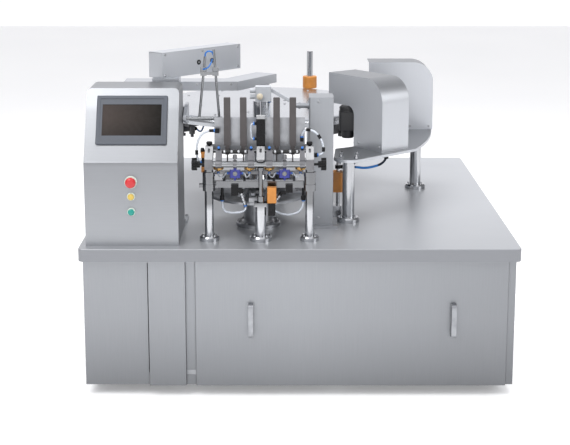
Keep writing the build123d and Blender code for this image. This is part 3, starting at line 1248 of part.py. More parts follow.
# Sensor head: a small case on the rotor's stem with a round window, two dials and an angled arm
knob_long = 22.0
case_width, case_depth, case_tall, window_radius = 64.0, 44.0, 60.0, 13.0
arm_long, arm_drop = 86.0, 30.0
with BuildPart() as sensor_head:
    slab(at(sensor_z), case_width, case_depth, case_tall, rotor_x + 22, rotor_y, radius=4)
    with BuildSketch(Plane.XZ.offset(-(rotor_y - case_depth / 2))) as window:
        with Locations((rotor_x + 8, table_z + sensor_z + 22)):
            Circle(window_radius)
    extrude(window.sketch, amount=8)
    arm_plane = Plane(origin=(rotor_x + case_width / 2 + 22, rotor_y, table_z + sensor_z + 44),
                      z_dir=(cos(radians(arm_drop)), 0, -sin(radians(arm_drop))))
    with BuildSketch(arm_plane) as arm:
        RectangleRounded(14, 10, 2)
    extrude(arm.sketch, amount=arm_long)
    knob_x = rotor_x + 22 - case_width / 2
    with BuildSketch(Plane.YZ.offset(knob_x - knob_long)) as dials:
        with Locations((rotor_y - 8, table_z + sensor_z + 18), (rotor_y - 8, table_z + sensor_z + 42)):
            Circle(9)
    extrude(dials.sketch, amount=knob_long)
sensor_head.part.label = "sensor_head"
export_step(sensor_head.part, "parts/sensor_head.step")

# Fittings for the tubes: clamps, elbows, a block at the stop rod, two valves on the cross plate
# with leaning barrels, and the black foot under the orange stop block
stop_shoe = 100.0
half_cross = cross_thick / 2
cross_front = cross_y - half_cross
sheet_front = head_back + lug_reach
clamp_deep = 14.0
left_clamp, right_clamp = (-322.0, 419.0), (10.0, 384.0)
side_port_x, side_port_z = rail_right, 330.0
stem_left_x, stem_right_x, stem_end = -303.0, 16.0, 150.0
valve_y, valve_half_deep = cross_front - 8.0, 8.0
left_valve, right_valve = (-253.0, 171.0), (-40.0, 183.0)
left_barrel = ((-231.0, 191.0), (-212.0, 132.0))
right_barrel = ((-70.0, 182.0), (-101.0, 140.0))
barrel_radius_small, valve_top = 7.0, 214.0
port_block = 12.0
elbow_x = pillar_middle - cylinder_width / 2
elbow_heights = (451.0, 391.0)
rod_clamp_x, rod_clamp_z = side_guide[0] + 15.0, 204.0
stem_clamp_z, stem_clamp_out = 380.0, 26.0
with BuildPart() as tube_fittings:
    slab(Plane.XZ.offset(-sheet_front), 18, 18, clamp_deep, left_clamp[0], table_z + left_clamp[1],
         radius=3)
    slab(Plane.XZ.offset(-sheet_front), 14, 16, clamp_deep, right_clamp[0], table_z + right_clamp[1],
         radius=3)
    slab(at(stack_gap_low), 13, 13, stack_gap_high - stack_gap_low, stop_rod_x, cross_y)
    slab(Plane.YZ.offset(side_port_x), 14, 16, clamp_deep, cross_y, table_z + side_port_z)
    for x in (stem_left_x, stem_right_x):
        turned(x, cross_y, [(0, stem_end), (9, stem_end), (9, stem_end + 16), (6, stem_end + 20),
                            (6, sleeve_low), (0, sleeve_low)])
    for (x, low), (start, end), side in ((left_valve, left_barrel, 1), (right_valve, right_barrel, -1)):
        slab(at(low), 28, 2 * valve_half_deep, valve_top - low, x, valve_y)
        slab(at(start[1] - port_block / 2), 22, port_block, port_block, x + side * 24, valve_y)
        lean_x, lean_z = end[0] - start[0], end[1] - start[1]
        barrel_plane = Plane(origin=(start[0], valve_y, table_z + start[1]), z_dir=(lean_x, 0, lean_z))
        with BuildSketch(barrel_plane) as valve_barrel:
            Circle(barrel_radius_small)
        extrude(valve_barrel.sketch, amount=hypot(lean_x, lean_z))
    for z in elbow_heights:
        slab(Plane.YZ.offset(elbow_x), 11, 11, -8, cylinder_y, table_z + z)
    slab(at(stop_shoe), 28, 20, stop_foot - stop_shoe, pillar_middle + stop_reach, rail_y, radius=3)
    with BuildSketch(at(rod_clamp_z)) as rod_clamp:
        with Locations((rod_clamp_x, side_guide[1])):
            Circle(13)
            with Locations((14, 0)):
                Rectangle(14, 14)
            Circle(8, mode=Mode.SUBTRACT)
    extrude(rod_clamp.sketch, amount=14)
    with BuildSketch(at(stem_clamp_z)) as stem_clamp:
        with Locations((rotor_x, rotor_y)):
            Circle(stem_clamp_out)
            with Locations((stem_clamp_out + 1, 0)):
                Rectangle(14, 14)
            Circle(rotor_stem, mode=Mode.SUBTRACT)
    extrude(stem_clamp.sketch, amount=12)
tube_fittings.part.label = "tube_fittings"
export_step(tube_fittings.part, "parts/tube_fittings.step")


def tube(radius, *points):
    """A soft tube or cable along straight runs joined by tangent bends; heights from the table."""
    corners = [Vector(x, y, table_z + z) for x, y, z in points]
    runs = [b - a for a, b in zip(corners, corners[1:])]
    bends = [bend_share * min(a.length, b.length) / tan(radians(a.get_angle(b) / 2))
             for a, b in zip(runs, runs[1:])]
    with BuildLine() as route:
        FilletPolyline(*corners, radius=bends)
    with BuildSketch(Plane(origin=corners[0], z_dir=runs[0])) as section:
        Circle(radius)
    sweep(sections=section.sketch, path=route.line)


# Air tubes: two loops beside the magazine, two under the cross plate, one at the lift cylinder
# and one from the sensor head
bend_share = 0.45
hose_radius, thin_hose = 4.0, 3.0
with BuildPart() as air_tubes:
    clamp_y = sheet_front - clamp_deep / 2
    tube(hose_radius, (left_clamp[0] - 9, clamp_y, left_clamp[1]), (-376, clamp_y, left_clamp[1]),
         (-403, -694, 374), (-400, cross_y, 302), (stop_rod_x - 6.5, cross_y, 302))
    tube(hose_radius, (right_clamp[0], clamp_y, right_clamp[1] + 8), (right_clamp[0], clamp_y, 424),
         (62, -690, 424), (94, -708, 376), (94, cross_y, side_port_z),
         (side_port_x + clamp_deep, cross_y, side_port_z))
    for stem_x, middle, (start, end), share in (
            (stem_left_x, (-262, -716, 97), left_barrel, 0.4),
            (stem_right_x, (-52, -718, 86), right_barrel, 0.5)):
        turn_x, turn_z = end[0] + share * (end[0] - start[0]), end[1] + share * (end[1] - start[1])
        tube(hose_radius, (stem_x, cross_y, stem_end), (stem_x, cross_y, stem_end - 44), middle,
             (turn_x, valve_y, turn_z), (end[0], valve_y, end[1]))
    tube(thin_hose, (elbow_x - 8, cylinder_y, elbow_heights[0]), (elbow_x - 18, cylinder_y, elbow_heights[0]),
         (elbow_x - 18, cylinder_y, elbow_heights[1]), (elbow_x - 8, cylinder_y, elbow_heights[1]))
    tube(thin_hose, (-118, -512, sensor_z), (-118, -512, 452),
         (rotor_x + stem_clamp_out + 3, rotor_y, 424), (rotor_x + stem_clamp_out + 3, rotor_y, 392))
air_tubes.part.label = "air_tubes"
export_step(air_tubes.part, "parts/air_tubes.step")

# Cables: one under the guard plate to the rod clamp, one from the console's back to the duct post
cable_radius = 5.0
with BuildPart() as cable_bundle:
    tube(cable_radius, (371, -330, plate_height), (371, -330, 222), (290, -346, 200),
         (232, side_guide[1], rod_clamp_z + 7), (rod_clamp_x + 21, side_guide[1], rod_clamp_z + 7))
    tube(cable_radius, (-560, console_back, 430), (-560, -499, 430), (-535, -499, 340),
         (-535, post_front, 340))
cable_bundle.part.label = "cable_bundle"
export_step(cable_bundle.part, "parts/cable_bundle.step")
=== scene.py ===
"""Finishes, fasteners, small fittings and the studio for a rotary vacuum packing machine."""
import math

import bpy
import numpy as np
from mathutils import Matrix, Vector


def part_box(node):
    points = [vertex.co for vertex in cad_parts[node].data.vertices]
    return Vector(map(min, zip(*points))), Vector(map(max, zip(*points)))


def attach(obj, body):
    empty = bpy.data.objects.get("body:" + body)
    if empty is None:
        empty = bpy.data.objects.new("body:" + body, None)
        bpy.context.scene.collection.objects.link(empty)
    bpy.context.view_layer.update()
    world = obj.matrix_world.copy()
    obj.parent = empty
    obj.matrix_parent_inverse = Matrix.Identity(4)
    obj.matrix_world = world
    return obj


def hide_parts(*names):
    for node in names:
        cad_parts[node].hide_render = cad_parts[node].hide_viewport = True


bl_info = {
    "name": "Rotary vacuum packing machine",
    "version": (1, 0, 0),
    "blender": (4, 5, 0),
    "location": "View3D > Sidebar > Machine",
    "description": "Surface finishes, fasteners, fittings and studio of a packing machine",
    "category": "Add Mesh",
}

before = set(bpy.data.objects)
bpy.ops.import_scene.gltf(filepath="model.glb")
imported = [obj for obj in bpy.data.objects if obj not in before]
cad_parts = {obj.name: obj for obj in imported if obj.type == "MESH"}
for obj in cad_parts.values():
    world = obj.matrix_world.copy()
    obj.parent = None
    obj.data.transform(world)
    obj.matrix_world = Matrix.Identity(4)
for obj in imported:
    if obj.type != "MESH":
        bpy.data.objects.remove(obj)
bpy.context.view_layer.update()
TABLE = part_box("table_top")[1].z


# Surfaces

FINISHES = {}


def put_mesh(name, form, finish, body):
    """Makes one smooth object at the origin from a form: an array of points and a list of faces."""
    mesh = bpy.data.meshes.new(name)
    mesh.from_pydata(form[0].tolist(), [], form[1])
    mesh.update()
    mesh.polygons.foreach_set("use_smooth", [True] * len(mesh.polygons))
    piece = bpy.data.objects.new(name, mesh)
    bpy.context.scene.collection.objects.link(piece)
    mesh.materials.append(FINISHES[finish])
    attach(piece, body)
    return piece


def mm(*points):
    """Points given in millimetres, in metres."""
    return np.array(points, float) / 1000.0


def sheet_faces(rows, columns, around=False, closed=False):
    """Quads of a grid of rows by columns; around joins the last column to the first."""
    r = np.arange(rows if closed else rows - 1)
    c = np.arange(columns if around else columns - 1)
    rr, cc = np.meshgrid(r, c, indexing="ij")
    nr, nc = (rr + 1) % rows, (cc + 1) % columns
    quads = np.stack([rr * columns + cc, rr * columns + nc, nr * columns + nc, nr * columns + cc], -1)
    return quads.reshape(-1, 4).tolist()


def basis(axis):
    """Two unit vectors square to an axis, which turn right-handed about it."""
    axis = np.asarray(axis, float) / np.linalg.norm(axis)
    helper = np.array((0.0, 0.0, 1.0)) if abs(axis[2]) < 0.9 else np.array((1.0, 0.0, 0.0))
    u = np.cross(helper, axis)
    u /= np.linalg.norm(u)
    return u, np.cross(axis, u), axis


def lathe(profile, centre=(0, 0, 0), axis=(0, 0, 1), sides=32, lobes=0, depth=0.0, ring=False):
    """A profile of (radius, height) points turned about an axis through a centre.

    Point = centre + height * axis + radius * (1 + depth * cos(lobes * angle)) * spoke(angle);
    both ends of the profile lie on the axis, or a ring joins its last row to its first, so the
    skin is closed.
    """
    u, v, w = basis(axis)
    angle = np.linspace(0, 2 * math.pi, sides, endpoint=False)
    p = np.asarray(profile, float)
    spoke = np.outer(np.cos(angle), u) + np.outer(np.sin(angle), v)
    swell = 1 + depth * np.cos(lobes * angle)
    points = (np.asarray(centre, float) + p[:, None, 1:2] * w
              + (p[:, 0:1] * swell)[..., None] * spoke[None])
    return points.reshape(-1, 3), sheet_faces(len(p), sides, around=True, closed=ring)


def spots(*places):
    """Places given in millimetres, with heights from the table top, as an array in metres."""
    return mm(*places) + np.array((0.0, 0.0, TABLE))


def circle_spots(centre, radius, height, angles):
    """Places on a level circle: centre and radius in millimetres, angles in degrees."""
    turn = np.radians(np.asarray(angles, float))
    return spots(*np.stack([centre[0] + radius * np.cos(turn), centre[1] + radius * np.sin(turn),
                            np.full(len(turn), height)], 1))


def pan_head(radius):
    """A round screw head of a given radius: a low dome with a conical recess, along +Z."""
    profile = np.array([(0, -0.1), (0.96, -0.1), (1.0, 0.08), (0.93, 0.3), (0.72, 0.5), (0.42, 0.6),
                        (0.34, 0.58), (0.2, 0.25), (0, 0.22)]) * radius
    return lathe(profile, sides=20)


def cap_head(radius):
    """A cap screw of a given radius: a washer, a tall head with a broken edge and a deep socket."""
    profile = np.array([(0, -0.1), (1.45, -0.1), (1.5, 0.0), (1.45, 0.16), (1.02, 0.2), (1.0, 1.0),
                        (0.9, 1.15), (0.56, 1.16), (0.52, 0.6), (0, 0.5)]) * radius
    return lathe(profile, sides=24)


def smooth_path(corners, steps=10):
    """A Catmull-Rom curve through the corners: each span blends its four nearest corners."""
    c = np.asarray(corners, float)
    c = np.vstack([2 * c[0] - c[1], c, 2 * c[-1] - c[-2]])
    t = np.linspace(0, 1, steps, endpoint=False)[None, :, None]
    a, b, d, e = (c[i:len(c) - 3 + i, None, :] for i in range(4))
    curve = 0.5 * (2 * b + (d - a) * t + (2 * a - 5 * b + 4 * d - e) * t ** 2
                   + (3 * b - a - 3 * d + e) * t ** 3)
    return np.vstack([curve.reshape(-1, 3), c[-2]])


def hose(path, radius, sides=12):
    """A round section carried along a path, with both ends closed by a cone to the centre line.

    Point = path(s) + radius * (cos(angle) * side(s) + sin(angle) * up(s)), where side is square
    to the path and to one fixed direction that the path never follows.
    """
    path = np.asarray(path, float)
    tangent = np.gradient(path, axis=0)
    tangent /= np.linalg.norm(tangent, axis=1)[:, None]
    fixed = np.eye(3)[int(np.argmin(np.abs(tangent).max(0)))]
    side = np.cross(tangent, fixed)
    side /= np.linalg.norm(side, axis=1)[:, None]
    up = np.cross(side, tangent)
    angle = np.linspace(0, 2 * math.pi, sides, endpoint=False)
    ring = (np.cos(angle)[None, :, None] * side[:, None] + np.sin(angle)[None, :, None] * up[:, None])
    body = path[:, None] + radius * ring
    ends = [np.repeat(path[i][None, None], sides, axis=1) for i in (0, -1)]
    points = np.concatenate([ends[0], body, ends[1]], 0)
    faces = sheet_faces(len(points), sides, around=True)
    return points.reshape(-1, 3), [f[::-1] for f in faces]


def repeated(form, centres, axes):
    """Copies of one small form, one at each centre, with its +Z turned to each axis."""
    points, faces = form
    frames = np.array([np.stack(basis(a)) for a in axes])
    moved = np.einsum("pk,nkj->npj", points, frames) + centres[:, None]
    count, size = len(frames), len(points)
    quads = (np.asarray(faces)[None] + size * np.arange(count)[:, None, None]).reshape(-1, 4)
    return moved.reshape(-1, 3), quads.tolist()


def upright(form, centres):
    """Copies of one small form, all with their +Z up."""
    return repeated(form, centres, [(0, 0, 1)] * len(centres))


def joined(parts):
    """Several forms as one."""
    points, faces, start = [], [], 0
    for p, f in parts:
        points.append(p)
        faces.extend([tuple(i + start for i in face) for face in f])
        start += len(p)
    return np.vstack(points), faces


# Finishes

WHITE = (1.0, 1.0, 1.0)
LEVEL_GRAIN = (1, 60, 60)
UPRIGHT_GRAIN = (60, 60, 1)


class Finish:
    """A node material with one principled shader and a few helpers to wire it."""

    def __init__(self, name, **values):
        self.material = bpy.data.materials.new(name)
        self.material.use_nodes = True
        self.tree = self.material.node_tree
        self.shader = self.tree.nodes["Principled BSDF"]
        self.place = self.node("ShaderNodeTexCoord").outputs["Object"]
        self.set(**values)

    def set(self, **values):
        """Constant sockets of the shader, by their names with underscores."""
        for key, value in values.items():
            self.shader.inputs[key.replace("_", " ")].default_value = value

    def node(self, kind, **settings):
        made = self.tree.nodes.new(kind)
        for key, value in settings.items():
            setattr(made, key, value)
        return made

    def link(self, start, end):
        self.tree.links.new(start, end)

    def noise(self, scale, stretch=(1, 1, 1), detail=4.0, rough=0.55):
        """Noise over the object's own coordinates, stretched by a factor along each axis."""
        mapping = self.node("ShaderNodeMapping")
        mapping.inputs["Scale"].default_value = stretch
        self.link(self.place, mapping.inputs["Vector"])
        made = self.node("ShaderNodeTexNoise")
        made.inputs["Scale"].default_value = scale
        made.inputs["Detail"].default_value = detail
        made.inputs["Roughness"].default_value = rough
        self.link(mapping.outputs["Vector"], made.inputs["Vector"])
        return made.outputs["Fac"]

    def spread(self, value, low, high, start=0.3, end=0.7):
        """A value carried from the range start..end to low..high."""
        made = self.node("ShaderNodeMapRange")
        for key, number in (("From Min", start), ("From Max", end), ("To Min", low), ("To Max", high)):
            made.inputs[key].default_value = number
        self.link(value, made.inputs["Value"])
        return made.outputs["Result"]

    def ramp(self, value, stops):
        """A colour ramp of (place, colour) stops."""
        made = self.node("ShaderNodeValToRGB")
        while len(made.color_ramp.elements) < len(stops):
            made.color_ramp.elements.new(0.5)
        for element, (place, colour) in zip(made.color_ramp.elements, stops):
            element.position = place
            element.color = (*colour, 1.0)
        self.link(value, made.inputs["Fac"])
        return made.outputs["Color"]

    def along(self, axis):
        """One coordinate of the object's own space."""
        made = self.node("ShaderNodeSeparateXYZ")
        self.link(self.place, made.inputs["Vector"])
        return made.outputs["XYZ".index(axis)]

    def mix(self, factor, first, second, kind="MIX"):
        """Two colours mixed by a value or a number."""
        made = self.node("ShaderNodeMix", data_type="RGBA", blend_type=kind)
        if isinstance(factor, (int, float)):
            made.inputs[0].default_value = factor
        else:
            self.link(factor, made.inputs[0])
        self.link(first, made.inputs[6])
        self.link(second, made.inputs[7])
        return made.outputs[2]

    def gradient(self, axis, start, end, stops):
        """A colour ramp along one axis, from start to end in metres."""
        return self.ramp(self.spread(self.along(axis), 0.0, 1.0, start, end), stops)

    def feed(self, socket, value):
        """A value linked to a socket of the shader."""
        self.link(value, self.shader.inputs[socket])

    def multiply(self, first, *others):
        """Colours multiplied with each other."""
        for other in others:
            first = self.mix(1.0, first, other, "MULTIPLY")
        return first

    def skin(self, tone, lines, low, satin, span):
        """Grain over a tone: lines darken it down to low and stand up in faint relief, and the value
        satin carries the roughness over its span."""
        fine = self.ramp(lines, [(0.3, (low, low, low)), (0.7, WHITE)])
        self.feed("Base Color", self.multiply(tone, fine))
        self.feed("Roughness", self.spread(satin, *span))
        self.bump(lines, 0.04, 0.0003)
        return self.material

    def bump(self, value, strength, distance):
        """Relief from a value, in metres of height."""
        made = self.node("ShaderNodeBump")
        made.inputs["Strength"].default_value = strength
        made.inputs["Distance"].default_value = distance
        self.link(value, made.inputs["Height"])
        self.link(made.outputs["Normal"], self.shader.inputs["Normal"])


def shade(colour, factor):
    """A colour made lighter or darker by a factor."""
    return tuple(min(1.0, c * factor) for c in colour)


def shades(colour, *stops):
    """A ramp's stops from (place, factor) pairs of one colour."""
    return [(place, shade(colour, factor)) for place, factor in stops]


def brushed_steel(name, colour, rough=0.36, contrast=0.10, metal=1.0):
    """Satin steel: fine upright lines, broad wiped patches, and faint scratches' relief."""
    made = Finish(name, Metallic=metal)
    lines = made.noise(9.0, UPRIGHT_GRAIN, detail=3.0, rough=0.6)
    cloud = made.noise(2.2, detail=2.0)
    fine = made.ramp(lines, [(0.32, shade(colour, 1 - contrast)), (0.68, shade(colour, 1 + contrast))])
    wide = made.ramp(cloud, [(0.3, (0.93, 0.94, 0.95)), (0.7, WHITE)])
    made.feed("Base Color", made.multiply(fine, wide))
    made.feed("Roughness", made.spread(lines, rough - 0.05, rough + 0.07))
    made.bump(lines, 0.05, 0.0004)
    return made.material


def table_steel(name, colour):
    """The table's steel: brushed along its width, with painted light making it paler towards the back and
    painted shade darkening its rim.
    """
    made = Finish(name, Metallic=0.5)
    lines = made.noise(8.0, (1, 70, 70), detail=3.0, rough=0.6)
    cloud = made.noise(1.6, detail=3.0)
    # Painted light: the top is darker at the front and paler towards the back.
    back = made.gradient("Y", -0.95, 0.95, shades(colour, (0.0, 0.80), (0.45, 0.94), (1.0, 1.04)))
    # Painted shade: the slab's edge faces and underside are darker than the top.
    rim = made.gradient("Z", TABLE - 0.004, TABLE - 0.001, [(0.0, (0.66, 0.66, 0.67)), (1.0, WHITE)])
    return made.skin(made.multiply(back, rim), lines, 0.95, cloud, (0.30, 0.38))


def duct_steel(name, colour):
    """The ducts' sheets: level grain, with painted shade darkening the low duct and its posts below the
    high duct.
    """
    made = Finish(name, Metallic=0.95)
    lines = made.noise(9.0, LEVEL_GRAIN, detail=3.0, rough=0.6)
    # Painted shade: the tone darkens below the high duct, over the low duct and its posts.
    height = made.gradient("Z", TABLE + 0.50, TABLE + 0.60, shades(colour, (0.2, 0.88), (0.8, 1.0)))
    return made.skin(height, lines, 0.96, lines, (0.30, 0.40))


def console_steel(name, colour):
    """The console's sheets: level grain, with painted shade and reflection: near full at the foot, darker
    from the crease up the slope round the screen, a little lighter at its top.
    """
    made = Finish(name, Metallic=0.85)
    lines = made.noise(7.0, LEVEL_GRAIN, detail=3.0, rough=0.6)
    cloud = made.noise(1.8, detail=3.0)
    # Painted shade and reflection: darker from the crease up the slope, lighter at the foot and the
    # slope's top edge.
    height = made.gradient("Z", TABLE - 0.05, TABLE + 0.55, shades(
        colour, (0.0, 0.98), (0.60, 0.80), (0.64, 0.60), (0.93, 0.66), (0.97, 0.78)))
    return made.skin(height, lines, 0.96, cloud, (0.34, 0.44))


def panel_steel(name, colour):
    """The cabinet's sheets: upright grain, with painted shade darkening them towards the floor and the
    right end.
    """
    made = Finish(name, Metallic=0.85)
    lines = made.noise(7.0, UPRIGHT_GRAIN, detail=3.0, rough=0.6)
    cloud = made.noise(1.8, detail=3.0)
    # Painted shade: darker towards the floor.
    height = made.gradient("Z", 0.03, TABLE, shades(colour, (0.0, 0.62), (0.5, 0.93), (1.0, 1.08)))
    patch = made.ramp(cloud, [(0.25, (0.92, 0.925, 0.93)), (0.75, WHITE)])
    # Painted shade: darker towards the right end.
    across = made.gradient("X", -0.85, 0.85, shades(WHITE, (0.0, 0.94), (0.5, 1.0), (1.0, 0.82)))
    return made.skin(made.multiply(height, patch, across), lines, 0.95, cloud, (0.34, 0.44))


def cover_steel(name, colour):
    """The carousel's spun cover: smooth rolled sheet with broad, faint wiped patches."""
    made = Finish(name, Metallic=1.0)
    cloud = made.noise(2.6, detail=3.0)
    made.feed("Base Color", made.ramp(cloud, shades(colour, (0.3, 0.94), (0.7, 1.0))))
    made.feed("Roughness", made.spread(cloud, 0.2, 0.3))
    made.bump(made.noise(60.0, detail=2.0), 0.02, 0.0001)
    return made.material


def guard_steel(name, colour):
    """The hoods' sheets: upright grain, with painted shade darkening the faces that look up."""
    made = Finish(name, Metallic=0.9)
    lines = made.noise(9.0, UPRIGHT_GRAIN, detail=3.0, rough=0.6)
    normal = made.node("ShaderNodeSeparateXYZ")
    made.link(made.node("ShaderNodeTexCoord").outputs["Normal"], normal.inputs["Vector"])
    # Painted shade: the faces that look up are darkened.
    upward = made.ramp(normal.outputs["Z"], shades(colour, (0.35, 1.0), (0.85, 0.5)))
    return made.skin(upward, lines, 0.96, lines, (0.36, 0.46))


def post_steel(name, colour):
    """Turned posts of bright steel; the clamped blocks and plates over the front ones are duller."""
    made = Finish(name, Metallic=1.0)
    wear = made.noise(14.0, detail=5.0)
    block = made.gradient("Z", TABLE + 0.12, TABLE + 0.15, shades(colour, (0.0, 1.0), (1.0, 0.42)))
    bright = made.ramp(wear, shades(colour, (0.3, 0.9), (0.75, 1.0)))
    behind = made.spread(made.along("Y"), 0.0, 1.0, -0.69, -0.67)
    made.feed("Base Color", made.mix(behind, block, bright))
    made.feed("Roughness", made.spread(wear, 0.10, 0.22))
    made.bump(made.noise(160.0, detail=2.0), 0.03, 0.0002)
    return made.material


def polished_steel(name, colour, rough=0.12):
    """Bright turned or rolled steel with faint bands of wear."""
    made = Finish(name, Metallic=1.0)
    wear = made.noise(14.0, detail=5.0)
    made.feed("Base Color", made.ramp(wear, shades(colour, (0.3, 0.9), (0.75, 1.0))))
    made.feed("Roughness", made.spread(wear, rough - 0.04, rough + 0.08))
    made.bump(made.noise(160.0, detail=2.0), 0.03, 0.0002)
    return made.material


def machined_steel(name, colour, rough=0.3):
    """Milled and ground steel: darker corners of use, a fine short grain and small dents."""
    made = Finish(name, Metallic=0.95)
    grain = made.noise(240.0, (1, 1, 6), detail=2.0)
    stain = made.noise(18.0, detail=4.0)
    made.feed("Base Color", made.ramp(stain, shades(colour, (0.3, 0.72), (0.6, 1.0), (0.85, 1.12))))
    made.feed("Roughness", made.spread(stain, rough + 0.14, rough))
    made.bump(grain, 0.06, 0.0003)
    return made.material


def moulded(name, colour, rough=0.42, grain=600.0, coat=0.0, relief=0.12, gloss=0.5):
    """Moulded plastic: a fine leather-like grain, slight sheen changes and a touch of mottling."""
    made = Finish(name, Coat_Weight=coat, Coat_Roughness=0.08, Specular_IOR_Level=gloss)
    mottle = made.noise(30.0, detail=3.0)
    made.feed("Base Color", made.ramp(mottle, shades(colour, (0.3, 0.88), (0.7, 1.08))))
    made.feed("Roughness", made.spread(mottle, rough - 0.05, rough + 0.07))
    made.bump(made.noise(grain, detail=2.0), relief, 0.0002)
    return made.material


def soft_rubber(name, colour):
    """Dull rubber with dust in its pores."""
    made = Finish(name, Specular_IOR_Level=0.35)
    pores = made.noise(420.0, detail=3.0)
    dust = made.noise(24.0, detail=4.0)
    made.feed("Base Color", made.ramp(dust, shades(colour, (0.35, 1.0), (0.8, 1.9))))
    made.feed("Roughness", made.spread(dust, 0.62, 0.8))
    made.bump(pores, 0.25, 0.0003)
    return made.material


def cast_paint(name, colour, rough=0.5):
    """Paint over a sandy casting: soft bumps and worn tones."""
    made = Finish(name, Coat_Weight=0.2, Coat_Roughness=0.25)
    sand = made.noise(120.0, detail=5.0)
    tone = made.noise(9.0, detail=4.0)
    made.feed("Base Color", made.ramp(tone, shades(colour, (0.3, 0.8), (0.75, 1.2))))
    made.feed("Roughness", made.spread(tone, rough - 0.06, rough + 0.08))
    made.bump(sand, 0.3, 0.0006)
    return made.material


def dark_glass(name):
    """The switched-off screen: near-black, with a painted reflection that makes it browner and lighter
    towards its upper left corner.
    """
    made = Finish(name, Roughness=0.16, Specular_IOR_Level=0.06)
    across = made.spread(made.along("X"), 0.0, 1.0, -0.76, -0.53)
    up = made.spread(made.along("Z"), 0.0, 1.0, TABLE + 0.36, TABLE + 0.48)
    dust = made.noise(60.0, detail=3.0)
    # Painted reflection: the glass is browner and lighter towards its left side and its top.
    side = made.ramp(across, [(0.0, (0.042, 0.032, 0.028)), (1.0, (0.006, 0.005, 0.004))])
    fade = made.ramp(up, [(0.0, (0.12, 0.12, 0.12)), (1.0, WHITE)])
    tone = made.multiply(side, fade)
    haze = made.ramp(dust, [(0.4, (0.0, 0.0, 0.0)), (0.9, (0.006, 0.006, 0.006))])
    made.feed("Base Color", made.mix(1.0, tone, haze, "ADD"))
    return made.material


def clear_hose(name, tint):
    """Clear air hose: half see-through wall with a pale rim."""
    made = Finish(name, Transmission_Weight=0.35, IOR=1.42, Specular_IOR_Level=0.6)
    cloud = made.noise(90.0, detail=2.0)
    made.feed("Base Color", made.ramp(cloud, shades(tint, (0.3, 0.85), (0.7, 1.0))))
    made.feed("Roughness", made.spread(cloud, 0.12, 0.24))
    return made.material


def banded_hose(name, colour):
    """The hose under the guard plate: blue in its middle, black where it runs into its couplings."""
    made = Finish(name, Specular_IOR_Level=0.45)
    band = made.gradient("X", 0.22, 0.36, shades(
        colour, (0.0, 0.05), (0.12, 0.05), (0.16, 1.0), (0.80, 1.0), (0.84, 0.05)))
    dust = made.ramp(made.noise(60.0, detail=3.0), [(0.3, (0.82, 0.82, 0.82)), (0.7, WHITE)])
    made.feed("Base Color", made.multiply(band, dust))
    made.feed("Roughness", made.spread(made.noise(90.0, detail=2.0), 0.25, 0.4))
    return made.material


def build_finishes(settings):
    """Every finish of the machine, by its key in NODE_FINISH or in an operator."""
    steel = tuple(settings.steel_colour)
    return {
        # The steel sheets share one tone, scaled part by part: these factors are painted light and shade,
        # darker on the cabinet, console and column box, lighter on the ducts, hoods and cover.
        "panel": panel_steel("panel_steel", shade(steel, 0.74)),
        "console": console_steel("console_steel", shade(steel, 0.84)),
        "table": table_steel("table_steel", steel),
        "sheet": duct_steel("sheet_steel", shade(steel, 1.5)),
        "guard": guard_steel("guard_steel", shade(steel, 1.36)),
        "box": brushed_steel("box_steel", shade(steel, 0.84), 0.42, 0.04, 0.8),
        "cover": cover_steel("bright_cover", shade(steel, 1.3)),
        "post": post_steel("post_steel", (0.52, 0.53, 0.55)),
        "rail": polished_steel("rail_steel", (0.33, 0.34, 0.35), 0.2),
        "head": machined_steel("head_steel", (0.22, 0.22, 0.23), 0.26),
        "chrome": polished_steel("chrome", (0.50, 0.51, 0.53), 0.12),
        "handle": machined_steel("handle_steel", (0.36, 0.37, 0.39), 0.28),
        "screw": machined_steel("screw_steel", (0.50, 0.51, 0.53), 0.25),
        "lens": moulded("lens_plastic", (0.62, 0.55, 0.42), 0.2, coat=0.6, relief=0.02),
        "machined": machined_steel("machined_steel", (0.42, 0.43, 0.45)),
        # Darker machined steel, darkened further as painted shade under the carousel.
        "dark_machined_with_painted_shade": machined_steel("dark_machined_with_painted_shade", (0.12, 0.12, 0.125), 0.36),
        "inside": cast_paint("frame_paint", (0.36, 0.37, 0.39)),
        "iron": cast_paint("iron_paint", (0.22, 0.23, 0.25)),
        "motor": cast_paint("motor_paint", (0.018, 0.018, 0.02), 0.38),
        "rubber": soft_rubber("rubber", (0.018, 0.018, 0.018)),
        "bezel": moulded("bezel_plastic", (0.062, 0.071, 0.088), 0.5),
        "screen": dark_glass("screen_glass"),
        "red": moulded("red_plastic", (0.50, 0.018, 0.022), 0.3, coat=0.4, relief=0.04),
        "yellow": moulded("yellow_plastic", (0.56, 0.40, 0.075), 0.3, coat=0.3, relief=0.04),
        "green": moulded("green_plastic", (0.0, 0.27, 0.22), 0.3, coat=0.3, relief=0.04),
        "collar": moulded("collar_plastic", (0.62, 0.70, 0.62), 0.35, relief=0.05),
        "black": moulded("black_plastic", (0.007, 0.007, 0.008), 0.28, gloss=0.22),
        "bar": moulded("guide_bar_plastic", (0.062, 0.055, 0.055), 0.5, 300.0, relief=0.2),
        "white": moulded("white_plastic", (0.33, 0.335, 0.345), 0.42),
        "orange": moulded("orange_plastic", (0.52, 0.205, 0.036), 0.4, 200.0),
        "brass": machined_steel("brass", (0.62, 0.37, 0.13), 0.24),
        "blue": moulded("blue_plastic", (0.03, 0.04, 0.34), 0.3, coat=0.3, relief=0.05),
        "ring": moulded("ring_plastic", (0.02, 0.15, 0.50), 0.3, coat=0.3, relief=0.05),
        "case": cast_paint("grey_case", (0.46, 0.48, 0.51), 0.42),
        "hose": clear_hose("clear_hose", (0.80, 0.85, 0.92)),
        "blue_hose": clear_hose("blue_hose", (0.03, 0.22, 0.68)),
        "cable": soft_rubber("cable_jacket", (0.016, 0.016, 0.017)),
        "banded": banded_hose("banded_hose", (0.02, 0.20, 0.62)),
    }


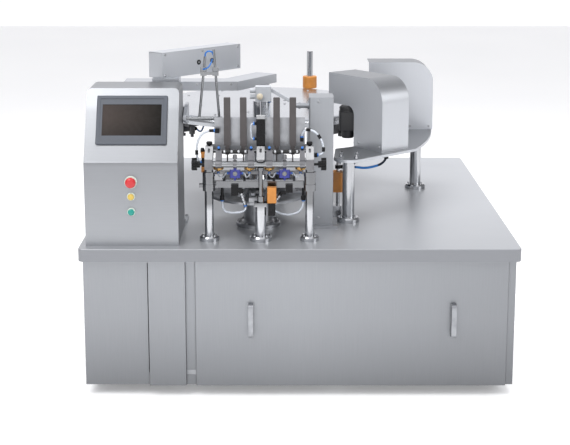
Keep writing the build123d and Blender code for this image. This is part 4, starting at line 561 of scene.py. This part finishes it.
NODE_FINISH = {
    "panel": ("fixed_panels", "rear_panels", "narrow_cover", "front_cover"),
    "console": ("console_shell",),
    "table": ("table_top",),
    "sheet": ("cable_ducts", "duct_posts"),
    "guard": ("guards", "guard_plate"),
    "box": ("column_box",),
    "cover": ("carousel_cover",),
    "post": ("pillars",),
    "rail": ("front_rail", "swing_frame"),
    "head": ("magazine_heads", "suction_bar"),
    "chrome": ("guard_bolts", "turret_stems"),
    "handle": ("cover_handles",),
    "machined": ("bag_backs", "line_shaft", "rotor_disc", "gripper_brackets", "turret_housings",
                 "gripper_jaw_1", "gripper_jaw_2", "gripper_jaw_3", "gripper_jaw_4"),
    # The carousel table and station units carry painted shade in their dark finish.
    "dark_machined_with_painted_shade": ("carousel_table", "station_units"),
    "inside": ("base_frame", "levelling_feet"),
    "iron": ("index_boxes",),
    "motor": ("main_gearmotor", "side_motor"),
    "rubber": ("drive_belt", "feed_roller"),
    "bezel": ("hmi_bezel",),
    "screen": ("hmi_screen",),
    "red": ("stop_button",),
    "yellow": ("yellow_button",),
    "green": ("green_button",),
    "collar": ("button_collars",),
    "black": ("left_knob", "right_knob", "lift_cylinder", "tube_fittings"),
    "bar": ("guide_bar_1", "guide_bar_2", "guide_bar_3", "guide_bar_4"),
    "white": ("side_plates", "lift_cap"),
    "orange": ("orange_blocks",),
    "brass": ("suction_cups",),
    "blue": ("vacuum_ejectors",),
    "case": ("sensor_head",),
    "hose": ("air_tubes",),
    "cable": ("cable_bundle",),
}


# Settings

class MachineSettings(bpy.types.PropertyGroup):
    """Sizes and colours that a user of the machine may change."""

    steel_colour: bpy.props.FloatVectorProperty(
        name="Steel colour", description="Base tone of the satin sheets", subtype="COLOR",
        size=3, min=0.0, max=1.0, default=(0.452, 0.466, 0.49))
    screw_head: bpy.props.FloatProperty(
        name="Screw head", description="Diameter of the sheet screws' heads", subtype="DISTANCE",
        unit="LENGTH", default=0.011, min=0.004, max=0.03)


class StudioSettings(bpy.types.PropertyGroup):
    """Floor, lights and camera of the studio."""

    key_power: bpy.props.FloatProperty(
        name="Key light", description="Power of the large soft light", subtype="POWER",
        default=170.0, min=0.0, max=5000.0)
    sky_strength: bpy.props.FloatProperty(
        name="Sky", description="Strength of the even light from all round", default=1.05,
        min=0.0, max=10.0)
    camera_height: bpy.props.FloatProperty(
        name="Camera height", description="Height of the camera above the floor", subtype="DISTANCE",
        unit="LENGTH", default=1.9384, min=0.1, max=10.0)
    camera_distance: bpy.props.FloatProperty(
        name="Camera distance", description="Distance of the camera in front of the machine's middle",
        subtype="DISTANCE", unit="LENGTH", default=5.8048, min=1.0, max=30.0)


# Operators

class MACHINE_OT_finish_frame(bpy.types.Operator):
    """Gives every CAD node its surface finish"""

    bl_idname = "machine.finish_frame"
    bl_label = "Finish the machine's parts"

    def execute(self, context):
        FINISHES.update(build_finishes(context.scene.machine))
        given = {node: finish for finish, nodes in NODE_FINISH.items() for node in nodes}
        for node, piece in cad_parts.items():
            finish = FINISHES[given[node]]
            if piece.material_slots:
                for slot in piece.material_slots:
                    slot.material = finish
            else:
                piece.data.materials.append(finish)
        return {"FINISHED"}


# Centres on the table in millimetres; a post's third number is the radius of its flange
CAROUSEL = (-150.0, 290.0)
ROTOR = (-165.0, -505.0)
POST_RADIUS = 21
POSTS = ((-352.0, -762.0, 38.0), (-151.0, -762.0, 43.0), (40.0, -762.0, 37.0), (72.0, 790.0, 40.0))
WIDE_POSTS = ((206.0, -455.0), (546.0, 189.0))

# The near end of the high duct's front sheet, in millimetres, and the duct's turn from the X axis
DUCT_START, DUCT_TURN = np.array((-550.0, -476.0, 0.0)), math.radians(48.0)

# Each cord's node, diameter and length, and the points of its curve, in millimetres
CORDS = (
    ("left_loop_tube", "air_tubes", 8.0, 186.6, (
        (-331, -669, 419), (-376, -669, 419), (-403, -694, 374), (-400, -712, 302), (-382, -712, 302))),
    ("right_loop_tube", "air_tubes", 8.0, 203.3, (
        (10, -669, 392), (10, -669, 424), (62, -690, 424), (94, -708, 376), (94, -712, 330),
        (69.5, -712, 330))),
    ("left_valve_tube", "air_tubes", 8.0, 158.1, (
        (-303, -712, 150), (-303, -712, 106), (-262, -716, 97), (-204.4, -724, 108.4),
        (-212, -724, 132))),
    ("right_valve_tube", "air_tubes", 8.0, 199.0, (
        (16, -712, 150), (16, -712, 106), (-52, -718, 86), (-116.5, -724, 119), (-101, -724, 140))),
    ("cylinder_tube", "air_tubes", 6.0, 76.1, (
        (-176, -692, 451), (-188, -692, 451.5), (-189.5, -692, 438), (-188.5, -692, 404),
        (-188, -692, 390.5), (-176, -692, 391))),
    ("sensor_tube", "air_tubes", 6.0, 124.2, (
        (-118, -512, 512), (-118, -512, 452), (-136, -505, 424), (-136, -505, 392))),
    ("guard_cable", "cable_bundle", 10.0, 220.1, (
        (371, -330, 258), (371, -330, 222), (290, -346, 200), (232, -360, 211), (188, -360, 211))),
    ("console_cable", "cable_bundle", 10.0, 131.3, (
        (-560, -520, 430), (-560, -500, 431), (-558, -497, 414), (-537, -497, 356), (-535, -499, 339),
        (-535, -473, 340))),
)


class MACHINE_OT_cords(bpy.types.Operator):
    """Adds the air tubes and the cables, each one smooth curve from fitting to fitting"""

    bl_idname = "machine.cords"
    bl_label = "Air tubes and cables"

    def execute(self, context):
        looks = {"air_tubes": (FINISHES["hose"], "clear_tube"),
                 "cable_bundle": (FINISHES["cable"], "cable_black")}
        for name, node, diameter, length, route in CORDS:
            finish, slot = looks[node]
            if name == "guard_cable":
                finish = FINISHES["banded"]
            curve = bpy.data.curves.new(name, "CURVE")
            curve.dimensions = "3D"
            curve.bevel_depth = diameter / 2000.0
            curve.bevel_resolution = 5
            curve.resolution_u = 16
            curve.use_fill_caps = True
            places = spots(*route)
            spline = curve.splines.new("NURBS")
            spline.points.add(len(places) - 1)
            spline.points.foreach_set("co", np.column_stack([places, np.ones(len(places))]).ravel())
            spline.order_u = 3
            spline.use_endpoint_u = True
            curve.materials.append(finish)
            piece = bpy.data.objects.new(name, curve)
            context.scene.collection.objects.link(piece)
            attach(piece, "machine")
            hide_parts(node)
        return {"FINISHED"}


class MACHINE_OT_sheet_screws(bpy.types.Operator):
    """Adds the screws of the ducts, column box, hoods, rear sheets and carousel cover"""

    bl_idname = "machine.sheet_screws"
    bl_label = "Sheet screws"

    def execute(self, context):
        head = pan_head(context.scene.machine.screw_head / 2)
        along = np.array((math.cos(DUCT_TURN), math.sin(DUCT_TURN), 0))
        out = np.array((math.sin(DUCT_TURN), -math.cos(DUCT_TURN), 0))
        places, axes = [], []

        def add(place, axis):
            places.append(place)
            axes.append(axis)

        for run in (16, 228, 439):
            for height in (608, 692):
                add(DUCT_START + along * run + (0, 0, height), out)
                add(DUCT_START + along * run - out * 80 + (0, 0, height), -out)
        for x in (-740, -600, -440, -290):
            for y, side in ((-6, -1), (104, 1)):
                add((x if side < 0 else x - 20, y, 508), (0, side, 0))
        for z in (516, 40):
            add((80, -556, z), (0, -1, 0))
            add((139, -498.5, z), (1, 0, 0))
        for run in (200, 330):
            add(np.array((136.0, -80.0, 290.0)) + np.array((0.612, -0.791, 0)) * run, (-0.791, -0.612, 0))
        for x in (410, 520, 606):
            add((x, 204, 286), (0, -1, 0))
        bottom = (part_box("fixed_panels")[0].z - TABLE) * 1000
        for x in np.linspace(-815, 815, 6):
            for z in (bottom + 22, -75):
                add((x, 852, z), (0, 1, 0))
        for x in (-806, -484):
            for z in (30, 300, 560):
                add((x, -520, z), (0, 1, 0))
        form = repeated(head, spots(*places), axes)
        put_mesh("sheet_screws", form, "screw", "machine")
        eyes = np.array([DUCT_START + along * run + (0, 0, 646) for run in (205, 282)])
        collar = lathe(mm((5.2, -0.5), (9.6, -0.5), (10.4, 1.0), (9.6, 3.0), (7.0, 3.8), (5.2, 2.6)),
                       sides=28, ring=True)
        form = repeated(collar, spots(*eyes), [out, out])
        put_mesh("duct_grommets", form, "rubber", "machine")
        form = repeated(cap_head(0.0034), spots(*eyes), [out, out])
        put_mesh("duct_bolts", form, "screw", "machine")
        centres = np.vstack([circle_spots(CAROUSEL, 420, 383, np.arange(12) * 30.0),
                             circle_spots(CAROUSEL, 300, 383, np.arange(6) * 60.0 + 17),
                             circle_spots(CAROUSEL, 110, 383, np.arange(6) * 60.0 + 30)])
        put_mesh("cover_screws", upright(head, centres), "screw", "carousel")
        return {"FINISHED"}


class MACHINE_OT_cap_screws(bpy.types.Operator):
    """Adds the cap screws of the flanges, foot plates and grippers"""

    bl_idname = "machine.cap_screws"
    bl_label = "Cap screws"

    def execute(self, context):
        small, large = cap_head(0.0032), cap_head(0.0052)
        square, eighths = (45, 135, 225, 315), np.arange(8) * 45.0 + 10
        still = [upright(small, circle_spots((x, y), (flange + POST_RADIUS) / 2 + 1,
                                             12 if y > 0 else 20, square)) for x, y, flange in POSTS]
        still += [upright(small, circle_spots(post, 34, 20, np.arange(6) * 60.0 + 30))
                  for post in WIDE_POSTS]
        still.append(upright(large, circle_spots(CAROUSEL, 128, 26, eighths)))
        still.append(upright(small, circle_spots(ROTOR, 77, 16, eighths)))
        plates = [(-604, -477), (-468, -477), (-604, -389), (-468, -389),
                  (-777, 8), (-693, 8), (-777, 92), (-693, 92)]
        still.append(upright(large, spots(*[(x, y, 8) for x, y in plates])))
        put_mesh("flange_screws", joined(still), "screw", "machine")
        hub = circle_spots(ROTOR, 34, 159, np.arange(6) * 60.0)
        feet = [circle_spots(ROTOR, 163.6, 147, np.arange(4) * 90.0 + side) for side in (-8, 8)]
        form = upright(small, np.vstack([hub, *feet]))
        put_mesh("rotor_screws", form, "screw", "rotor")
        return {"FINISHED"}


class MACHINE_OT_push_rings(bpy.types.Operator):
    """Adds the blue rings where the air tubes enter their fittings, the tubes' sleeves and a coupling"""

    bl_idname = "machine.push_rings"
    bl_label = "Release rings and sleeves"

    def execute(self, context):
        ring = lathe(mm((4.1, -0.5), (7.4, -0.5), (7.8, 1.5), (6.4, 3.0), (7.4, 4.6), (4.1, 5.4)),
                     sides=24, ring=True)
        wide = [((-331, -669, 419), (-1, 0, 0)), ((-382, -712, 302), (-1, 0, 0)),
                ((10, -669, 392), (0, 0, 1)), ((69.5, -712, 330), (1, 0, 0)),
                ((-303, -712, 150), (0, 0, -1)), ((16, -712, 150), (0, 0, -1)),
                ((-212, -724, 132), (19, 0, -59)), ((-101, -724, 140), (-31, 0, -42)),
                ((-176, -692, 451), (-1, 0, 0)), ((-176, -692, 391), (-1, 0, 0)),
                ((-118, -512, 512), (0, 0, -1)), ((-136, -505, 392), (0, 0, 1))]
        form = repeated(ring, spots(*[place for place, _ in wide]), [axis for _, axis in wide])
        put_mesh("release_rings", form, "ring", "machine")
        sleeve = lathe(mm((4.1, -9), (5.6, -9), (6.2, -7), (6.2, -1.2), (5.7, -0.6), (5.7, 0.6),
                          (6.2, 1.2), (6.2, 7), (5.6, 9), (4.1, 9)), sides=24, ring=True)
        places = [((-345, -669, 419), (1, 0, 0)), ((-401.5, -703, 338), (-3, 18, 72)),
                  ((36, -679.5, 424), (52, -21, 0)), ((78, -699, 400), (32, -18, -48)),
                  ((94, -710.2, 352), (0, -4, -46))]
        form = repeated(sleeve, spots(*[place for place, _ in places]), [axis for _, axis in places])
        put_mesh("hose_sleeves", form, "black", "machine")
        coupling = lathe(mm((6, -9), (9, -9), (9.6, -7.5), (9.6, -2), (8.2, -1), (8.2, 1), (9.6, 2),
                            (9.6, 7.5), (9, 9), (6, 9)),
                         spots((370.2, -330.2, 248.6))[0], (0.06, 0, 1), 32, ring=True)
        put_mesh("hose_coupling", coupling, "black", "machine")
        return {"FINISHED"}


class MACHINE_OT_valve_barrels(bpy.types.Operator):
    """Adds the grooved bright barrels of the two valves under the cross plate"""

    bl_idname = "machine.valve_barrels"
    bl_label = "Valve barrels"

    def execute(self, context):
        forms = []
        for start, end in (((-231, -724, 191), (-212, -724, 132)), ((-70, -724, 182), (-101, -724, 140))):
            start, end = spots(start)[0], spots(end)[0]
            axis = end - start
            long = np.linalg.norm(axis)
            heights = np.linspace(0.012, long - 0.002, 25)
            swell = 0.0079 + 0.0007 * np.cos(np.linspace(0, 8 * math.pi, 25))
            profile = [(0.0071, 0.012), *zip(swell, heights), (0.0071, long - 0.002)]
            forms.append(lathe(profile, start, axis, 28, ring=True))
        put_mesh("valve_barrels", joined(forms), "chrome", "machine")
        return {"FINISHED"}


class MACHINE_OT_roller_rings(bpy.types.Operator):
    """Adds the bright collars along the feed roller"""

    bl_idname = "machine.roller_rings"
    bl_label = "Roller collars"

    def execute(self, context):
        collar = lathe(mm((7.9, -4), (8.6, -4), (9.0, -3.2), (9.0, -0.8), (8.5, 0), (9.0, 0.8),
                          (9.0, 3.2), (8.6, 4), (7.9, 4)), ring=True)
        places = [(x, -724, 345) for x in (-292, -264, -237, -210, -95, -68, -36, -9)]
        form = repeated(collar, spots(*places), [(1, 0, 0)] * len(places))
        put_mesh("roller_collars", form, "chrome", "feed_roller")
        return {"FINISHED"}


class MACHINE_OT_cup_hoses(bpy.types.Operator):
    """Adds the short vacuum hoses from the ejectors to the suction cups"""

    bl_idname = "machine.cup_hoses"
    bl_label = "Vacuum hoses of the cups"

    def execute(self, context):
        forms = []
        for port, cup, side in ((-280, -318, -1), (-224, -196, 1), (-86, -118, -1), (-30, 4, 1)):
            corners = spots((port, -705, 256), (port + side * 8, -706, 256),
                            (port + side * 13, -708, 248), ((port + cup) / 2 + side * 2, -707, 240),
                            (cup - side * 2, -704, 246), (cup, -699, 255), (cup, -696, 256))
            forms.append(hose(smooth_path(corners, 6), 0.0026, 12))
        put_mesh("cup_hoses", joined(forms), "hose", "suction_arm")
        ring = lathe(mm((2.4, -1), (5.0, -1), (5.4, 0.6), (4.4, 2.0), (5.0, 3.4), (2.4, 4)),
                     sides=20, ring=True)
        ports = [((-280, -705, 256), (-1, 0, 0)), ((-224, -705, 256), (1, 0, 0)),
                 ((-86, -705, 256), (-1, 0, 0)), ((-30, -705, 256), (1, 0, 0))]
        ports += [((cup, -698, 256), (0, -1, 0)) for cup in (-318, -196, -118, 4)]
        form = repeated(ring, spots(*[p for p, _ in ports]), [a for _, a in ports])
        put_mesh("cup_hose_rings", form, "ring", "suction_arm")
        dial = lathe(mm((0, -0.4), (8.5, -0.4), (9, 0.6), (8.2, 2.2), (6, 2.6), (5.6, 1.8), (0, 1.6)),
                     sides=28)
        form = repeated(dial, spots((-252, -712, 255), (-58, -712, 255)), [(0, -1, 0)] * 2)
        put_mesh("ejector_dials", form, "white", "suction_arm")
        return {"FINISHED"}


class MACHINE_OT_swing_hoses(bpy.types.Operator):
    """Adds the blue air tubes at the top of the swing frame"""

    bl_idname = "machine.swing_hoses"
    bl_label = "Tubes of the swing frame"

    def execute(self, context):
        loop = smooth_path(spots((-372, -572, 699), (-370, -572, 712), (-360, -573, 720),
                                 (-348, -573, 719), (-342, -572, 712), (-339.5, -572, 704)), 8)
        drop = smooth_path(spots((-343, -577, 690), (-348, -584, 676), (-358, -590, 660),
                                 (-372, -592, 652), (-380, -586, 650)), 8)
        form = joined([hose(loop, 0.0030, 12), hose(drop, 0.0026, 12)])
        put_mesh("swing_hoses", form, "blue_hose", "swing_frame")
        return {"FINISHED"}


class MACHINE_OT_station_hoses(bpy.types.Operator):
    """Adds the blue vacuum hoses and black fittings under the carousel, one set per station"""

    bl_idname = "machine.station_hoses"
    bl_label = "Hoses of the stations"

    def execute(self, context):
        angles = np.radians(-136.0 + 30.0 * np.arange(12))
        radial = smooth_path(mm((444.5, -26, 316), (434, -26, 314), (420, -24, 303), (400, -16, 298),
                                (380, -6, 308), (368, 0, 326), (364, 0, 349.5)), 6)
        cap = lathe(mm((0, -0.5), (8, -0.5), (8.6, 1), (8.6, 6), (6.5, 7), (6.5, 10), (0, 11)),
                    (0, 0, 0), (-1, 0, 0), 20)
        cap = (cap[0] + np.array((0.4445, -0.026, 0.316)), cap[1])
        cosine, sine = np.cos(angles)[:, None], np.sin(angles)[:, None]
        made = {}
        for label, (p, f) in (("hoses", hose(radial, 0.0035, 10)), ("elbows", cap)):
            x = CAROUSEL[0] / 1000 + p[None, :, 0] * cosine + p[None, :, 1] * sine
            y = CAROUSEL[1] / 1000 + p[None, :, 0] * sine - p[None, :, 1] * cosine
            z = np.broadcast_to(p[None, :, 2] + TABLE, x.shape)
            quads = np.asarray(f)[None, :, ::-1] + len(p) * np.arange(12)[:, None, None]
            made[label] = (np.stack([x, y, z], -1).reshape(-1, 3), quads.reshape(-1, 4).tolist())
        put_mesh("station_hoses", made["hoses"], "blue_hose", "carousel")
        put_mesh("station_elbows", made["elbows"], "black", "carousel")
        return {"FINISHED"}


class MACHINE_OT_bearing_elbows(bpy.types.Operator):
    """Adds the small elbow fittings on the feed roller's bearings and the clamp knobs on the heads"""

    bl_idname = "machine.bearing_elbows"
    bl_label = "Elbows and clamp knobs"

    def execute(self, context):
        elbow = hose(mm((0, 0, -0.5), (0, 0, 3), (0, -1, 7), (0, -4, 9.5), (0, -8, 10.5), (0, -13, 10.5)),
                     0.0042, 14)
        tip = lathe(mm((0, -1), (5.2, -1), (5.6, 1), (4.8, 3), (0, 3.4)),
                    (0, -0.013, 0.0105), (0, -1, 0), 20)
        centres = spots((-314, -721, 353), (-188, -721, 353), (-117, -721, 353), (11, -721, 353))

        def placed(form):
            points = form[0][None] + centres[:, None]
            quads = np.asarray(form[1])[None] + len(form[0]) * np.arange(4)[:, None, None]
            return points.reshape(-1, 3), quads.reshape(-1, 4).tolist()

        put_mesh("bearing_elbows", placed(elbow), "black", "machine")
        put_mesh("bearing_tips", placed(tip), "ring", "machine")
        knob = lathe(mm((0, -0.5), (5, -0.5), (5, 4), (10, 5), (11.5, 8), (11.5, 15), (9.5, 18),
                        (0, 19.5)), sides=40, lobes=7, depth=0.07)
        form = repeated(knob, spots((-352, -694, 362), (40, -694, 362), (-368, -700, 345)),
                        [(0, 0, 1), (0, 0, 1), (-1, 0, 0)])
        put_mesh("clamp_knobs", form, "black", "machine")
        return {"FINISHED"}


class MACHINE_OT_sensor_lens(bpy.types.Operator):
    """Adds the sensor head's lens and the side motor's fins"""

    bl_idname = "machine.sensor_lens"
    bl_label = "Lens and fins"

    def execute(self, context):
        lens = lathe(mm((0, -0.3), (12.6, -0.3), (12.8, 1.2), (11.5, 2.0), (10.5, 1.2), (9, 2.4),
                        (6, 3.6), (3, 4.2), (0, 4.4)), spots((-157, -535, 534))[0], (0, -1, 0), 36)
        put_mesh("sensor_lens", lens, "lens", "machine")
        fins = [lathe([(0.0335, low), (0.0362, low), (0.0368, low + 0.001), (0.0368, low + 0.003),
                       (0.0362, low + 0.004), (0.0335, low + 0.004)],
                      spots((216, -152, 412))[0], sides=48, lobes=24, depth=0.012, ring=True)
                for low in (0.001, 0.008, 0.015)]
        put_mesh("motor_fins", joined(fins), "motor", "machine")
        return {"FINISHED"}


# The camera stands beside the middle plane and looks down by the tilt, in degrees; its focal length
# and the shift of its view are in pixels of a frame of the given width
CAMERA_SIDE, CAMERA_TILT = -0.0727, 11.448
SENSOR, FOCAL_PIXELS, FRAME_WIDTH = 36.0, 1328.9, 570.0
VIEW_SHIFT = (4.2, -60.0)
FLOOR_REACH = 14.0
LIGHT_AIM = (0.0, 0.0, 0.6)


class MACHINE_OT_stage(bpy.types.Operator):
    """Makes the pale floor, the soft lights and the camera"""

    bl_idname = "machine.stage"
    bl_label = "Floor, lights and camera"

    def execute(self, context):
        settings = context.scene.studio
        floor_finish = Finish("studio_floor", Roughness=0.6, Specular_IOR_Level=0.2)
        tone = floor_finish.noise(0.7, detail=2.0)
        floor_finish.feed("Base Color", floor_finish.ramp(
            tone, [(0.3, (0.86, 0.86, 0.865)), (0.7, (0.9, 0.9, 0.9))]))
        floor_finish.set(Emission_Color=(1.0, 1.0, 1.0, 1.0), Emission_Strength=0.22)
        grid = np.linspace(-FLOOR_REACH, FLOOR_REACH, 3)
        x, y = np.meshgrid(grid, grid)
        points = np.stack([x.ravel(), y.ravel(), np.full(9, -0.0005)], 1)
        mesh = bpy.data.meshes.new("studio_floor")
        mesh.from_pydata(points.tolist(), [], sheet_faces(3, 3))
        mesh.materials.append(floor_finish.material)
        floor = bpy.data.objects.new("studio_floor", mesh)
        context.scene.collection.objects.link(floor)

        world = bpy.data.worlds.new("studio_world")
        world.use_nodes = True
        tree = world.node_tree
        sky = tree.nodes["Background"]
        place = tree.nodes.new("ShaderNodeTexCoord")
        parts = tree.nodes.new("ShaderNodeSeparateXYZ")
        side = tree.nodes.new("ShaderNodeMath")
        side.operation = "ABSOLUTE"
        shade_off = tree.nodes.new("ShaderNodeValToRGB")
        for element, (where, tone) in zip(shade_off.color_ramp.elements, ((0.34, 1.0), (0.62, 0.24))):
            element.position = where
            element.color = (tone, tone, tone * 1.03, 1.0)
        tree.links.new(place.outputs["Generated"], parts.inputs["Vector"])
        tree.links.new(parts.outputs["X"], side.inputs[0])
        tree.links.new(side.outputs["Value"], shade_off.inputs["Fac"])
        tree.links.new(shade_off.outputs["Color"], sky.inputs["Color"])
        sky.inputs["Strength"].default_value = settings.sky_strength
        context.scene.world = world
        context.scene.view_settings.view_transform = "Standard"

        lights = (
            ("key_light", (-2.6, -3.4, 4.2), settings.key_power, 3.2),
            ("top_light", (0.3, 0.6, 4.4), settings.key_power * 0.9, 3.0),
            ("side_light", (3.8, -2.2, 2.6), settings.key_power * 0.35, 2.4),
        )
        for name, place, power, size in lights:
            data = bpy.data.lights.new(name, "AREA")
            data.energy = power
            data.shape = "SQUARE"
            data.size = size
            lamp = bpy.data.objects.new(name, data)
            back = np.subtract(place, LIGHT_AIM)
            lamp.location = place
            lamp.rotation_euler = (math.acos(back[2] / np.linalg.norm(back)), 0.0,
                                   math.atan2(back[0], -back[1]))
            lamp.visible_glossy = name != "top_light"
            context.scene.collection.objects.link(lamp)

        camera = bpy.data.objects.new("camera", bpy.data.cameras.new("camera"))
        camera.location = (CAMERA_SIDE, -settings.camera_distance, settings.camera_height)
        camera.rotation_euler = (math.radians(90.0 - CAMERA_TILT), 0.0, 0.0)
        camera.data.sensor_width = SENSOR
        camera.data.lens = SENSOR * FOCAL_PIXELS / FRAME_WIDTH
        camera.data.shift_x = VIEW_SHIFT[0] / FRAME_WIDTH
        camera.data.shift_y = VIEW_SHIFT[1] / FRAME_WIDTH
        camera.data.clip_end = 60.0
        context.scene.collection.objects.link(camera)
        context.scene.camera = camera
        return {"FINISHED"}


class MACHINE_PT_panel(bpy.types.Panel):
    """Lists the machine's pieces and settings in the sidebar"""

    bl_idname = "MACHINE_PT_panel"
    bl_label = "Packing machine"
    bl_space_type = "VIEW_3D"
    bl_region_type = "UI"
    bl_category = "Machine"

    def draw(self, context):
        for group in (context.scene.machine, context.scene.studio):
            for key in group.bl_rna.properties.keys():
                if key not in ("rna_type", "name"):
                    self.layout.prop(group, key)
        for operator in OPERATORS:
            self.layout.operator(operator.bl_idname)


OPERATORS = (MACHINE_OT_finish_frame, MACHINE_OT_cords, MACHINE_OT_sheet_screws, MACHINE_OT_cap_screws,
             MACHINE_OT_push_rings, MACHINE_OT_valve_barrels, MACHINE_OT_roller_rings,
             MACHINE_OT_cup_hoses, MACHINE_OT_swing_hoses, MACHINE_OT_station_hoses,
             MACHINE_OT_bearing_elbows, MACHINE_OT_sensor_lens, MACHINE_OT_stage)
CLASSES = (MachineSettings, StudioSettings, *OPERATORS, MACHINE_PT_panel)


def register():
    for made in CLASSES:
        bpy.utils.register_class(made)
    bpy.types.Scene.machine = bpy.props.PointerProperty(type=MachineSettings)
    bpy.types.Scene.studio = bpy.props.PointerProperty(type=StudioSettings)


def unregister():
    del bpy.types.Scene.studio
    del bpy.types.Scene.machine
    for made in reversed(CLASSES):
        bpy.utils.unregister_class(made)


def main():
    """Registers the add-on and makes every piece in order."""
    register()
    for operator in OPERATORS:
        group, name = operator.bl_idname.split(".")
        getattr(getattr(bpy.ops, group), name)()


if __name__ == "__main__":
    main()
